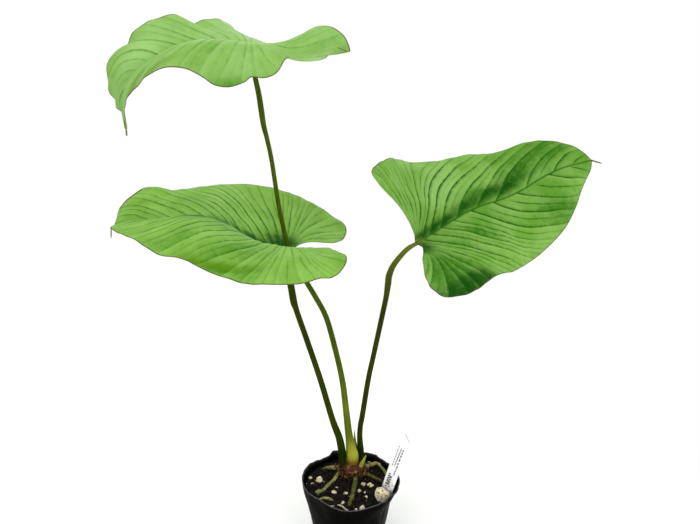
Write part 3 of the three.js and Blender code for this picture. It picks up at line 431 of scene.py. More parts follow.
def shell(name, points, faces, material, marks=None, uv=None, weld=0.0, smooth_faces=True):
    """A mesh object at the origin from points in millimetres and triangles or quads. Marks are values of its
    points, uv their flat places, and points nearer than the weld in millimetres become one."""
    points = np.asarray(points, float).reshape(-1, 3) * MM
    faces = np.asarray(faces, np.int32)
    count, corners = faces.shape
    mesh = bpy.data.meshes.new(name)
    mesh.vertices.add(len(points))
    mesh.vertices.foreach_set("co", points.astype(np.float32).ravel())
    mesh.loops.add(faces.size)
    mesh.loops.foreach_set("vertex_index", faces.ravel())
    mesh.polygons.add(count)
    mesh.polygons.foreach_set("loop_start", np.arange(count, dtype=np.int32) * corners)
    mesh.polygons.foreach_set("loop_total", np.full(count, corners, np.int32))
    mesh.update(calc_edges=True)
    for key, values in (marks or {}).items():
        layer = mesh.attributes.new(key, "FLOAT", "POINT")
        layer.data.foreach_set("value", np.asarray(values, np.float32).ravel())
    if uv is not None:
        layer = mesh.uv_layers.new(name="laid_flat")
        layer.data.foreach_set("uv", np.asarray(uv, np.float32)[faces.ravel()].ravel())
    if weld:
        work = bmesh.new()
        work.from_mesh(mesh)
        bmesh.ops.remove_doubles(work, verts=work.verts, dist=weld * MM)
        bmesh.ops.dissolve_degenerate(work, edges=work.edges, dist=1e-7)
        bmesh.ops.recalc_face_normals(work, faces=work.faces)
        work.to_mesh(mesh)
        work.free()
    mesh.validate()
    mesh.polygons.foreach_set("use_smooth", np.full(len(mesh.polygons), smooth_faces))
    mesh.materials.append(material)
    piece = bpy.data.objects.new(name, mesh)
    bpy.context.scene.collection.objects.link(piece)
    return piece


def dressed(piece, slot, *nodes):
    """Puts a finished piece on the frame: it rides on the root body and stands for the nodes it covers."""
    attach(piece, "root")
    if nodes:
        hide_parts(*nodes)
    return piece


def sheet_faces(rows, columns, start=0, around=False):
    """Quads of a grid of points stored row by row, closed round its columns if asked."""
    r = np.arange(rows - 1)[:, None]
    c = np.arange(columns if around else columns - 1)[None]
    n = (c + 1) % columns
    a = start + r * columns + c
    b = start + r * columns + n
    return np.stack([a, b, b + columns, a + columns], -1).reshape(-1, 4)


def slab_faces(rows, columns):
    """Quads that close two grids of equal size, the second laid over the first, into one thin slab."""
    n = rows * columns
    inner = sheet_faces(rows, columns)
    loop = np.concatenate([
        np.arange(columns - 1), np.arange(rows - 1) * columns + columns - 1,
        (rows - 1) * columns + np.arange(columns - 1, 0, -1), np.arange(rows - 1, 0, -1) * columns])
    after = np.roll(loop, -1)
    return np.concatenate([inner, inner[:, ::-1] + n, np.stack([loop, loop + n, after + n, after], -1)])


def ball(subdivisions):
    """Points and triangles of an even ball of radius 1."""
    work = bmesh.new()
    bmesh.ops.create_icosphere(work, subdivisions=subdivisions, radius=1.0)
    points = np.array([v.co[:] for v in work.verts])
    faces = np.array([[v.index for v in f.verts] for f in work.faces])
    work.free()
    return points, faces


def rod(points, radii, sides, per_span, girth=None):
    """A round rod: rings at path(t) + r(t) g(t, a) (N cos a + B sin a), with N and B carried along the path
    without twist, and both ends drawn in over a little less than half a ball. Gives points, quads and the
    place of each point along the path."""
    path = through(points, per_span)
    radius = through(radii, per_span)[:, 0]
    n = len(path)
    along = np.concatenate([[0], np.cumsum(np.linalg.norm(np.diff(path, axis=0), axis=1))])
    tangent = unit(np.gradient(path, axis=0))
    normal = np.zeros((n, 3))
    normal[0] = unit(np.cross((0, 1, 0), tangent[0]))
    for i in range(1, n):
        normal[i] = unit(normal[i - 1] - tangent[i] * (normal[i - 1] @ tangent[i]))
    binormal = np.cross(tangent, normal)
    angle = 2 * np.pi * np.arange(sides) / sides
    caps = np.linspace(0, np.pi / 2, 6)[:-1]
    k = len(caps)
    head = np.sin(caps)
    lead = np.cos(caps)[:, None]
    centre = np.vstack([path[:1] - tangent[:1] * lead * radius[0] * CAP_LENGTH, path,
                        path[-1:] + tangent[-1:] * lead[::-1] * radius[-1] * CAP_LENGTH])
    size = np.concatenate([head * radius[0], radius, head[::-1] * radius[-1]])
    place = np.concatenate([np.zeros(k), along, np.full(k, along[-1])])
    nv, bv = (np.vstack([np.repeat(v[:1], k, 0), v, np.repeat(v[-1:], k, 0)]) for v in (normal, binormal))
    g = np.ones((len(size), sides)) if girth is None else girth(place[:, None], angle[None])
    out = nv[:, None] * np.cos(angle)[None, :, None] + bv[:, None] * np.sin(angle)[None, :, None]
    grid = centre[:, None] + out * (size[:, None] * g)[..., None]
    return grid.reshape(-1, 3), sheet_faces(len(grid), sides, around=True), np.repeat(place, sides)


# Materials


def add(tree, kind, inputs=None, out=0, **settings):
    """Adds a node with its settings, fills its inputs with links, sRGB hex colours or values, and gives one
    of its outputs."""
    made = tree.nodes.new("ShaderNode" + kind)
    for key, value in settings.items():
        setattr(made, key, value)
    for key, value in (inputs or {}).items():
        if isinstance(value, bpy.types.NodeSocket):
            tree.links.new(value, made.inputs[key])
        else:
            made.inputs[key].default_value = linear(value) if isinstance(value, str) else value
    return made.outputs[out]


def surface(name, **values):
    """A material of one shader, with these values on the shader's own sockets, and its node tree."""
    material = bpy.data.materials.new(name)
    material.use_nodes = True
    shader = material.node_tree.nodes["Principled BSDF"]
    for key, value in values.items():
        shader.inputs[key.replace("_", " ")].default_value = value
    return material, material.node_tree


def painted(tree, base, *layers):
    """Lays colours over a base one after another: each by a share that runs smoothly from 0, where its source
    has the low value, to the most, where it has the high value."""
    ease = {"interpolation_type": "SMOOTHSTEP"}
    for source, low, high, most, colour in layers:
        share = add(tree, "MapRange", {0: source, 1: low, 2: high, 4: most}, **ease)
        base = add(tree, "Mix", {0: share, 6: base, 7: colour}, 2, data_type="RGBA")
    return base


def laid_on(tree, colour, roughness, height, depth_mm):
    """Links a colour, a roughness and a relief of a depth in millimetres to the tree's shader. Roughness is a
    noise and the values that it has where the noise is low and high."""
    shader = tree.nodes["Principled BSDF"]
    source, low, high = roughness
    rough = add(tree, "MapRange", {0: source, 1: NOISE_SPAN[0], 2: NOISE_SPAN[1], 3: low, 4: high})
    relief = add(tree, "Bump", {"Height": height, "Distance": depth_mm * MM}, "Normal")
    for value, key in ((colour, "Base Color"), (rough, "Roughness"), (relief, "Normal")):
        tree.links.new(value, shader.inputs[key])


def leaf_cuticle(name, light, middle, deep, vein, under, haze, lines):
    """Living leaf blade, grown: a satin wax cuticle over green tissue. The eye sees thin darker sunken veins
    and a purple-brown margin. Painted shade lies beside the veins, along the midrib and deepest at the stalk,
    with a painted highlight on each swell and patches of painted sheen."""
    material, tree = surface(name, IOR=1.45, Specular_IOR_Level=0.05, Subsurface_Weight=0.15,
                             Subsurface_Radius=(0.6, 1.0, 0.25), Subsurface_Scale=0.0016)
    flat = add(tree, "UVMap", uv_map="laid_flat")
    read = {key: add(tree, "Attribute", attribute_name=key, out="Fac") for key in LEAF_MARKS}
    patch = add(tree, "TexNoise", {0: flat, "Scale": 1 / 0.034, "Detail": 2.0})
    speck = add(tree, "TexNoise", {0: flat, "Scale": 1 / 0.0026, "Detail": 3.0})
    mottle = add(tree, "TexNoise", {0: flat, "Scale": 1 / 0.0065, "Detail": 5.0, "Roughness": 0.68})
    # The deep green, partly painted shade of the folds, and the painted shade at the stalk are broken up by
    # the mottle
    grain = add(tree, "MapRange", {0: mottle, 1: 0.36, 2: 0.62, 3: 0.8, 4: 1.1})
    deep_and_shade_mark = add(tree, "Math", {0: read["deep"], 1: grain}, operation="MULTIPLY")
    funnel_shade_mark = add(tree, "Math", {0: read["funnel"], 1: grain}, operation="MULTIPLY")
    # The finest net of veins, 2.6 mm across
    net = add(tree, "TexVoronoi", {0: flat, "Scale": 1 / 0.0026}, "Distance", feature="DISTANCE_TO_EDGE")
    # Millimetres to the nearest vein, and to the line halfway between two veins
    near = add(tree, "Math", {0: read["phase"], 1: 0.5}, operation="PINGPONG")
    far = add(tree, "Math", {0: 0.5, 1: near}, operation="SUBTRACT")
    vein_mm = add(tree, "Math", {0: near, 1: read["spread"]}, operation="MULTIPLY")
    between_mm = add(tree, "Math", {0: far, 1: read["spread"]}, operation="MULTIPLY")
    # Millimetres past the last vein and before the next, for painted shade that is deeper past a vein than
    # before it, and a painted highlight on the swell before the next vein
    past = add(tree, "Math", {0: read["phase"]}, operation="FRACT")
    past_mm = add(tree, "Math", {0: past, 1: read["spread"]}, operation="MULTIPLY")
    before = add(tree, "Math", {0: 1.0, 1: past}, operation="SUBTRACT")
    before_mm = add(tree, "Math", {0: before, 1: read["spread"]}, operation="MULTIPLY")
    # Veins come and go along their length: side veins, the painted shade beside them, and the thin ones
    # between them with a fainter painted shade of their own
    worn = add(tree, "MapRange", {0: mottle, 1: 0.34, 2: 0.56, 3: 0.5, 4: 1.3})
    even = add(tree, "Math", {0: read["strength"], 1: lines}, operation="MULTIPLY")
    strength = add(tree, "Math", {0: even, 1: worn}, operation="MULTIPLY")
    shade = add(tree, "Math", {0: strength, 1: 0.62}, operation="MULTIPLY")
    faint = add(tree, "Math", {0: read["second"], 1: worn}, operation="MULTIPLY")
    soft = add(tree, "Math", {0: faint, 1: 0.35}, operation="MULTIPLY")
    upper = painted(
        tree, middle,
        (patch, 0.35, 0.65, 0.8, light),
        (speck, 0.55, 0.75, 0.1, light),
        (mottle, 0.5, 0.7, 0.16, deep),
        (net, 0.14, 0.02, 0.08, deep),
        # painted shade of the midrib's gutter, deeper towards the midrib
        (read["rib_mm"], 30.0, 3.0, 0.28, deep),
        # painted highlight on the swell before each vein
        (before_mm, 5.5, 1.5, 0.35, light),
        # pale patches of painted sheen, where the satin blade would mirror the light
        (read["haze"], 0.0, 1.0, 0.7, haze),
        # painted shade beside each vein, wider past it than before it
        (past_mm, 3.6, 0.2, shade, deep),
        (before_mm, 1.6, 0.4, shade, deep),
        # deep green: partly painted shade where the blade turns from the light and in its folds, partly
        # darker tissue
        (deep_and_shade_mark, 0.0, 1.0, 1.0, deep),
        (read["warm"], 0.0, 1.0, 0.65, "#5f8410"),
        # painted shade, darkest in the funnel where the blade meets its stalk
        (funnel_shade_mark, 0.0, 0.8, 0.97, "#0c4600"),
        # painted shade beside the thin veins between the side veins
        (between_mm, 2.6, 0.3, soft, deep),
        (between_mm, 0.85, 0.2, faint, vein),
        (vein_mm, 0.95, 0.3, strength, vein),
        (read["rib_mm"], 1.5, 0.5, 0.75, vein))
    lower = painted(
        tree, under,
        (patch, 0.4, 0.7, 0.5, light),
        (net, 0.14, 0.02, 0.05, deep),
        (vein_mm, 1.0, 0.4, 0.6, "#a9c06a"),
        (read["rib_mm"], 2.2, 1.0, 0.8, "#9dac4e"))
    both = add(tree, "Mix", {0: read["face"], 6: lower, 7: upper}, 2, data_type="RGBA")
    colour = painted(
        tree, both,
        (read["rim_mm"], 1.2, 0.4, 0.85, "#5a3a32"),
        (read["drip"], 0.0, 1.0, 0.9, "#5d4630"))
    sunk = add(tree, "MapRange", {0: vein_mm, 2: 1.3}, interpolation_type="SMOOTHSTEP")
    deepened = add(tree, "Math", {0: sunk, 1: strength}, operation="MULTIPLY")
    pores = add(tree, "Math", {0: speck, 1: 0.12, 2: deepened}, operation="MULTIPLY_ADD")
    gloss = add(tree, "TexNoise", {0: flat, "Scale": 1 / 0.009, "Detail": 3.0})
    laid_on(tree, colour, (gloss, 0.5, 0.64), pores, 0.16)
    return material


def stalk_skin(name, low, foot, main, light, far, roughness=0.4, reach=(230.0, 380.0)):
    """Living leaf stalk, grown: smooth skin with fine lengthwise ribs. The eye sees a soft gloss line, a
    stained foot and slow changes of green. The far colour comes in over the reach, in millimetres along."""
    material, tree = surface(name, IOR=1.45, Specular_IOR_Level=0.02, Subsurface_Weight=0.05,
                             Subsurface_Scale=0.001)
    place = add(tree, "TexCoord", out="Object")
    along = add(tree, "Attribute", attribute_name="along_mm", out="Fac")
    drawn = add(tree, "Mapping", {0: place, 3: (1 / 0.0011, 1 / 0.0011, 1 / 0.022)})
    fibre = add(tree, "TexNoise", {0: drawn, "Scale": 1.0, "Detail": 4.0})
    slow = add(tree, "TexNoise", {0: place, "Scale": 1 / 0.03, "Detail": 2.0})
    fleck = add(tree, "TexNoise", {0: place, "Scale": 1 / 0.0013, "Detail": 3.0})
    colour = painted(
        tree, main,
        (slow, 0.35, 0.7, 0.7, light),
        (along, *reach, 0.85, far),
        (fibre, 0.35, 0.7, 0.3, light),
        (along, 50.0, 22.0, 0.94, foot),
        (along, 21.0, 11.0, 0.9, low),
        (fleck, 0.62, 0.76, 0.25, light))
    laid_on(tree, colour, (slow, roughness - 0.05, roughness + 0.1), fibre, 0.14)
    return material


def root_skin(name, green, tan, dark, dryness):
    """Living aerial root, grown: a spongy skin that is green where fresh and tan where dry, with soil caught
    on it. The low attribute darkens it where it dips into the mix."""
    material, tree = surface(name, IOR=1.4, Specular_IOR_Level=0.25)
    place = add(tree, "TexCoord", out="Object")
    low = add(tree, "Attribute", attribute_name="low", out="Fac")
    patch = add(tree, "TexNoise", {0: place, "Scale": 1 / 0.006, "Detail": 3.0})
    crust = add(tree, "TexNoise", {0: place, "Scale": 1 / 0.0015, "Detail": 5.0})
    colour = painted(
        tree, green,
        (patch, 0.62 - 0.25 * dryness, 0.78 - 0.25 * dryness, 0.9, tan),
        (crust, 0.52, 0.68, 0.7, dark),
        (low, 0.25, 1.0, 0.9, "#2a1c10"))
    laid_on(tree, colour, (patch, 0.62, 0.85), crust, 0.35)
    return material


def damp_peat(name, dark, light):
    """Damp peat and composted bark, loose: fibrous crumbs. The eye sees near black lumps with brown edges.
    The finest fibre is drawn 1 mm across, so that it still shows."""
    material, tree = surface(name, IOR=1.4, Specular_IOR_Level=0.3)
    place = add(tree, "TexCoord", out="Object")
    lump = add(tree, "TexNoise", {0: place, "Scale": 1 / 0.0036, "Detail": 6.0, "Roughness": 0.7})
    fibre = add(tree, "TexNoise", {0: place, "Scale": 1 / 0.001, "Detail": 4.0})
    crumb = add(tree, "TexVoronoi", {0: place, "Scale": 1 / 0.0017}, "Distance")
    colour = painted(
        tree, dark,
        (lump, 0.42, 0.66, 0.9, light),
        (fibre, 0.64, 0.76, 0.55, "#453019"))
    height = add(tree, "Math", {0: crumb, 1: 0.6, 2: lump}, operation="MULTIPLY_ADD")
    laid_on(tree, colour, (lump, 0.6, 0.95), height, 1.0)
    return material


def pumice(name, light, shade, pit_mm=1.9):
    """Natural pumice, broken: cream glass foam. The eye sees a matt pale stone with dark pits, and a dark
    brown where the low attribute says that it stands in the mix."""
    material, tree = surface(name, IOR=1.5, Specular_IOR_Level=0.2)
    place = add(tree, "TexCoord", out="Object")
    low = add(tree, "Attribute", attribute_name="low", out="Fac")
    cloud = add(tree, "TexNoise", {0: place, "Scale": 1 / 0.004, "Detail": 5.0})
    grit = add(tree, "TexNoise", {0: place, "Scale": 1 / 0.0008, "Detail": 5.0})
    pit = add(tree, "TexVoronoi", {0: place, "Scale": 1000 / pit_mm}, "Distance")
    colour = painted(
        tree, shade,
        (cloud, 0.34, 0.54, 1.0, light),
        (pit, 0.34, 0.2, 0.92, "#2f2412"),
        (grit, 0.62, 0.74, 0.4, "#8c7c5e"),
        (low, 0.35, 1.0, 0.85, "#35261a"))
    height = add(tree, "Math", {0: pit, 1: 1.4, 2: grit}, operation="MULTIPLY_ADD")
    laid_on(tree, colour, (cloud, 0.8, 0.95), height, 0.45)
    return material


def pot_polypropylene(name, black):
    """Black polypropylene sheet, thermoformed: satin black. The eye sees a broad soft gloss down the wall,
    scuffs, dust and a paler lip, which is a painted highlight. The edge attribute is 1 on the lip."""
    material, tree = surface(name, IOR=1.49, Specular_IOR_Level=0.012)
    place = add(tree, "TexCoord", out="Object")
    edge = add(tree, "Attribute", attribute_name="edge", out="Fac")
    cloud = add(tree, "TexNoise", {0: place, "Scale": 1 / 0.022, "Detail": 3.0})
    scuff = add(tree, "TexNoise", {0: place, "Scale": 1 / 0.0016, "Detail": 6.0, "Roughness": 0.72})
    wave = add(tree, "TexNoise", {0: place, "Scale": 1 / 0.01, "Detail": 2.0})
    colour = painted(
        tree, black,
        (cloud, 0.4, 0.7, 0.8, "#060504"),
        (scuff, 0.66, 0.82, 0.25, "#1d1a16"),
        # painted highlight, grey, along the lip
        (edge, 0.2, 0.9, 0.85, "#5a555a"))
    laid_on(tree, colour, (scuff, 0.34, 0.52), wave, 0.35)
    return material


def label_styrene(name):
    """White polystyrene sheet, cut: satin white, with dark ruled dashes, painted grey shade along the cut
    corner and soil smears at the foot."""
    material, tree = surface(name, IOR=1.59, Specular_IOR_Level=0.4)
    place = add(tree, "TexCoord", out="Object")
    ruled = add(tree, "Attribute", attribute_name="ruled", out="Fac")
    up = add(tree, "Attribute", attribute_name="up_mm", out="Fac")
    cut = add(tree, "Attribute", attribute_name="cut_mm", out="Fac")
    cloud = add(tree, "TexNoise", {0: place, "Scale": 1 / 0.009, "Detail": 3.0})
    smear = add(tree, "TexNoise", {0: place, "Scale": 1 / 0.0034, "Detail": 5.0})
    soil = add(tree, "Math", {0: up, 1: -0.012, 2: smear}, operation="MULTIPLY_ADD")
    colour = painted(
        tree, "#f4f4f4",
        (cloud, 0.35, 0.7, 0.8, "#fbfbfb"),
        (ruled, 0.1, 0.55, 0.95, "#121214"),
        # painted grey shade along the edge of the cut corner
        (cut, 0.9, 0.3, 0.8, "#6c6d70"),
        (soil, 0.04, 0.2, 0.7, "#77706a"))
    laid_on(tree, colour, (cloud, 0.34, 0.46), smear, 0.05)
    return material


def dry_sheath(name):
    """Dead leaf sheath, dried: thin fibrous skin, brown with tan edges and dark stains."""
    material, tree = surface(name, IOR=1.4, Specular_IOR_Level=0.25)
    place = add(tree, "TexCoord", out="Object")
    drawn = add(tree, "Mapping", {0: place, 3: (1 / 0.0009, 1 / 0.0009, 1 / 0.007)})
    fibre = add(tree, "TexNoise", {0: drawn, "Scale": 1.0, "Detail": 4.0})
    stain = add(tree, "TexNoise", {0: place, "Scale": 1 / 0.0045, "Detail": 3.0})
    colour = painted(
        tree, "#3e2412",
        (fibre, 0.4, 0.7, 0.8, "#6e4f2c"),
        (stain, 0.54, 0.68, 0.85, "#a18a5c"),
        (stain, 0.45, 0.33, 0.8, "#1d0c06"))
    laid_on(tree, colour, (stain, 0.65, 0.85), fibre, 0.3)
    return material


def white_board(name):
    """White board, matt: even, with the faintest cloud, so that only the plant and its soft shadow show."""
    material, tree = surface(name, Specular_IOR_Level=0.1)
    place = add(tree, "TexCoord", out="Object")
    cloud = add(tree, "TexNoise", {0: place, "Scale": 1 / 0.4, "Detail": 2.0})
    colour = painted(tree, "#fbfbfb", (cloud, 0.3, 0.7, 1.0, "#ffffff"))
    laid_on(tree, colour, (cloud, 0.85, 0.95), cloud, 0.1)
    return material


# Blades


def bent_sheet(b):
    """The bent blade as a function of flat (s, y), in millimetres: centre(s) + side(s) y c + up(s) |y| l.
    Here c and l are the means over 0..|y| of cos and sin of the half's slope. The slope eases from 0 in the
    midrib gutter to its inner value, and on to its outer value at SLOPE_SPAN."""
    start, stop, step = -110, 240, 2.5
    s = np.arange(start, stop + step, step)
    rise = np.radians(station(s, PITCH_AT, b["pitch"]))
    turn = np.radians(b["heading"] + b["sweep"] * s / 100)
    along = np.stack([np.cos(rise) * np.cos(turn), np.cos(rise) * np.sin(turn), np.sin(rise)], -1)
    level = np.stack([-np.sin(turn), np.cos(turn), 0 * turn], -1)
    over = np.cross(along, level)
    lean = np.radians(b["roll"])
    side = level * np.cos(lean) + over * np.sin(lean)
    up = over * np.cos(lean) - level * np.sin(lean)
    mid = (along[1:] + along[:-1]) * step / 2
    centre = np.vstack([np.zeros((1, 3)), np.cumsum(mid, axis=0)])
    centre += np.array(b["junction"]) - centre[int(round(-start / step))]
    table = np.hstack([centre, side, up])
    parts = 16

    def at(flat_s, flat_y):
        rows = np.stack([np.interp(flat_s, s, column) for column in table.T], -1)
        left = flat_y >= 0
        inner, outer = (np.where(left, station(flat_s, SLOPE_AT, b["left_slopes"][k]),
                                 station(flat_s, SLOPE_AT, b["right_slopes"][k])) for k in (0, 1))
        width = np.abs(flat_y)
        across = lift = 0
        for k in range(parts):
            x = (k + 0.5) / parts
            reach = width * x * x
            slope = np.radians(inner + (outer - inner) * np.clip(reach / SLOPE_SPAN, 0, MOST_TURN))
            slope = slope * (1 - np.exp(-reach / GUTTER))
            across = across + 2 * x * np.cos(slope) / parts
            lift = lift + 2 * x * np.sin(slope) / parts
        place, beside, above = rows[..., :3], rows[..., 3:6], rows[..., 6:]
        return place + beside * (flat_y * across)[..., None] + above * (width * lift)[..., None]

    return at


def vein_paths(outline, start, u, t):
    """Flat places of rays from S on the midrib to M on the margin:
    (1 - t) S + t M + 4 t (1 - t) bow |M - S| n, where n is the part of the outward direction square to M - S.
    Near the cleft a ray hugs the margin."""
    reach = np.concatenate([[0], np.cumsum(np.linalg.norm(np.diff(outline, axis=0), axis=1))])

    def margin(share):
        return np.stack([np.interp(share * reach[-1], reach, outline[:, k]) for k in (0, 1)], -1)

    end = margin(u)
    start = np.stack([start, 0 * u], -1)
    chord = end - start
    span = np.maximum(np.linalg.norm(chord, axis=1, keepdims=True), 0.3)
    way = chord / span
    outward = (0, 1) - way[:, 1:] * way
    bow = (np.where(way[:, :1] < 0, *BOW) * span * outward)[:, None]
    tt = t[None, :, None]
    ray = start[:, None] * (1 - tt) + end[:, None] * tt + 4 * tt * (1 - tt) * bow
    hug = (np.clip(1 - u / HUG, 0, 1) ** 1.5)[:, None, None]
    return hug * margin(u[:, None] * t[None]) + (1 - hug) * ray


def spots(s, y, places):
    """Soft oval spots on the flat blade: the most of share exp(-((s - a) / w)2 - ((y - b) / h)2)."""
    total = np.zeros(np.shape(s))
    for a, b, w, h, share in places:
        total = np.maximum(total, share * np.exp(-(((s - a) / w) ** 2) - ((y - b) / h) ** 2))
    return total


def blade_half(b, at, hand, rays, drip_rays, steps, detail):
    """One half of a blade on a grid of rays by steps. Veins lie where phase is whole, and spread is the
    distance between them. The height over the bent sheet is
    -cos(2 pi phase) (swell + wave) - groove + pucker + the margin's flounces.
    Gives points, normals, heights, flat places, the share of the way out, and marks for the material."""
    side = 0 if hand > 0 else 1
    rng = np.random.default_rng(int(b["heading"] * 10) + side)
    outline = through(b["left" if hand > 0 else "right"], 12)
    length = outline[-1, 0]
    w = np.arange(rays + 1) / rays
    past = np.clip((w - LOBE_SHARE) / (1 - LOBE_SHARE), 0, 1)
    u = np.where(past > 0, LOBE_SHARE + (1 - LOBE_SHARE) * past ** (PAIRING / b["crowding"][side]), w)
    t = (np.arange(steps + 1) / steps) ** 1.25
    place = vein_paths(outline, length * past**PAIRING, u, t)

    # The drip tip goes on from the last ray and narrows to a point
    drip_mm = np.linalg.norm(b["drip"])
    drawn = np.arange(1, drip_rays + 1) / drip_rays
    thin = np.where(drawn < 1, 1 - 0.4 * drawn, 0)
    tip = np.repeat((length + drip_mm * drawn)[:, None], steps + 1, 1)
    place = np.concatenate([place, np.stack([tip, thin[:, None] * t[None]], -1)])
    s, y = place[..., 0], hand * place[..., 1]
    flat = np.minimum(s, length)
    point = at(flat, y)
    normal = unit(np.cross(at(flat + 0.5, y) - at(flat - 0.5, y), at(flat, y + 0.5) - at(flat, y - 0.5)))
    point = point + np.array(b["drip"]) * (np.clip(s - length, 0, None) / drip_mm)[..., None]

    def over_steps(blade, drip):
        return np.repeat(np.concatenate([blade, drip])[:, None], steps + 1, 1)

    uu, ww = (over_steps(share, np.ones(drip_rays)) for share in (u, w))
    beyond = over_steps(0 * u, drawn)
    tt = np.repeat(t[None], len(uu), 0)
    s_w, y_w = np.gradient(s, axis=0) * rays, np.gradient(y, axis=0) * rays
    s_t, y_t = np.gradient(s, axis=1), np.gradient(y, axis=1)
    spread = np.abs(s_w * y_t - y_w * s_t) / np.maximum(np.hypot(s_t, y_t), 1e-6) / VEINS

    # Each vein strays from its even place and has its own strength, and each strip between two its own tone
    count = np.arange(VEINS + 1)
    knots = count + np.concatenate([[0], rng.uniform(-0.24, 0.24, VEINS - 1), [0]])
    wander = 0.05 * rumple(place, 60, 17 + side, 2) * np.clip(spread / 6, 0, 1) * tt
    phase = np.interp(ww * VEINS, knots, count) + wander
    strong = np.interp(phase, count, rng.uniform(0.45, 1.0, VEINS + 1))
    tone = rng.uniform(0.55, 1.2, VEINS)[np.clip(phase, 0, VEINS - 1).astype(int)]
    second = np.interp(phase, count, rng.uniform(0.4, 0.95, VEINS + 1)) * min(1, b["quilting"] / 0.6)

    # Relief fades at the cleft, at the tip and where the veins crowd together
    ends = smooth(uu, 0, 0.07) * smooth(1 - uu, 0, 0.06)
    wide = smooth(spread, 2.0, 8.0)
    swell = b["quilting"] * detail["quilting"] * np.clip(spread / 14, 0, 1.3) * strong
    swell = swell * np.sin(np.pi * tt**0.8) ** 0.8
    wave = b["waves"][side] * tt**4
    relief = -ends * wide * np.cos(2 * np.pi * phase) * (swell + wave)
    near = np.abs(phase - np.round(phase)) * spread
    groove = b["quilting"] * detail["vein_depth"] * strong * np.exp(-((near / 1.5) ** 2))
    relief -= groove * ends * wide * smooth(tt, 0.02, 0.12) * smooth(1 - tt, 0.0, 0.3)
    pucker = detail["pucker"] * b["quilting"] * rumple(place, 46, 5 + side, 2)
    relief += pucker * np.sin(np.pi * tt) ** 0.8 * wide * ends
    if b["flounces"][side]:
        relief += station(uu, *np.transpose(b["flounces"][side])) * tt**3

    # Painted shade deepens the green on the far side of each vein and thins towards the next, and each strip
    # has its own darker tone by its own share
    fold_shade = 1 - 0.45 * (phase % 1) * smooth(spread, 2.5, 7)
    strips = 0.16 * (tone - 0.55) * wide * ends * np.sin(np.pi * tt)
    strength = strong * wide * smooth(uu, 0, 0.05) * (1 - 0.7 * smooth(tt, 0.45, 1.0))
    rim = np.linalg.norm(place - place[:, -1:], axis=-1) * (1 - spots(s, y, b["lip"]))
    marks = {
        "phase": phase, "spread": spread, "rib_mm": np.abs(y), "rim_mm": np.where(beyond > 0, NO_RIM, rim),
        "strength": strength * (1 - spots(s, y, b["calm"])),
        "second": second * smooth(spread, 9, 15) * smooth(tt, 0.02, 0.2) * (1 - 0.6 * smooth(tt, 0.5, 1.0)),
        # painted shade deepest at the stalk, patches of painted sheen, and deep green that is partly painted
        # shade
        "funnel": spots(s, y, b["funnel"]) * fold_shade, "haze": spots(s, y, b["haze"]),
        "deep": np.maximum(spots(s, y, b["deep"]) * fold_shade * tone, strips), "warm": spots(s, y, b["warm"]),
        "drip": smooth(beyond, 0.05, 0.4),
    }
    return point, normal, relief, s, y, tt, marks


def leaf_blade(name, b, material, slot, detail):
    """A whole blade: both faces share the grid, twice BLADE_HALF apart, with a thinner margin and a raised
    rib beneath that runs out towards the tip."""
    rays, drip_rays, steps = 320, 6, 52
    at = bent_sheet(b)
    rows, columns = rays + drip_rays + 1, steps + 1
    length = b["left"][-1][0]
    points, uv, faces, values, start = [], [], [], {}, 0
    for hand in (1, -1):
        point, normal, relief, s, y, out, marks = blade_half(b, at, hand, rays, drip_rays, steps, detail)
        rib = RIB_HEIGHT * (1 - 0.7 * np.clip(s, 0, length) / length) * np.exp(-((y / RIB_WIDTH) ** 2))
        rib = rib * (s <= length)
        thin = BLADE_HALF * (1 - 0.45 * smooth(out, 0.9, 1.0))
        for grid, face in ((point + normal * (relief + thin)[..., None], 1.0),
                           (point + normal * (relief - thin - rib)[..., None], 0.0)):
            points.append(grid.reshape(-1, 3))
            uv.append(np.stack([s, y], -1).reshape(-1, 2) * MM)
            for key, value in {**marks, "face": np.full(s.shape, face)}.items():
                values.setdefault(key, []).append(value.ravel())
        upper = sheet_faces(rows, columns, start)
        lower = upper + rows * columns
        edge = start + np.arange(rows) * columns + steps
        below = edge + rows * columns
        wall = np.stack([edge[:-1], edge[1:], below[1:], below[:-1]], -1)
        left = hand > 0
        for quads, reverse in ((upper, left), (lower, not left), (wall, not left)):
            faces.append(quads[:, ::-1] if reverse else quads)
        start += 2 * rows * columns
    marks = {key: np.concatenate(parts) for key, parts in values.items()}
    piece = shell(name, np.concatenate(points), np.concatenate(faces), material, marks, np.concatenate(uv),
                  weld=0.02)
    return dressed(piece, slot, name.replace("leaf_", "blade_"))


# The pot and its mix


def rim_height(angle, pot):
    """Height of the cut rim at an angle: the full height less the drop, straight between the cuts."""
    return pot.height / MM - np.interp(np.degrees(angle) % 360, *np.transpose(RIM_CUTS))


def wall_radius(z, angle, pot):
    """Outer radius of the tapered wall: straight, less its dents, a little out of round near the rim, with
    soft buckles and the pressed creases."""
    deg = np.degrees(angle) % 360
    radius = (pot.base_radius + (pot.rim_radius - pot.base_radius) * z * MM / pot.height) / MM
    for d in DENTS:
        away = np.abs(deg - d["at"])
        share = np.exp(-((np.minimum(away, 360 - away) / d["width"]) ** 2))
        radius = radius - share * np.interp(z, *np.transpose(d["depths"]))
    # Only the lip, above 84 mm, is out of round
    crumple = np.clip((z - 84) / 9, 0, 1)
    radius = radius + crumple * (0.7 * np.sin(3 * angle + 0.6) + 0.5 * np.sin(7 * angle))
    wall = np.stack([50 * np.cos(angle), 50 * np.sin(angle), 0 * angle + np.minimum(z, FILLED_TO)], -1)
    soft = 0.3 * rumple(wall, 40, 8, 2)
    for at, wide, deep, low in CREASES:
        soft = soft - deep * np.exp(-(((deg - at) / wide) ** 2)) * np.clip((z - low) / 40, 0, 1)
    return radius + soft * np.clip(z / 30, 0, 1)


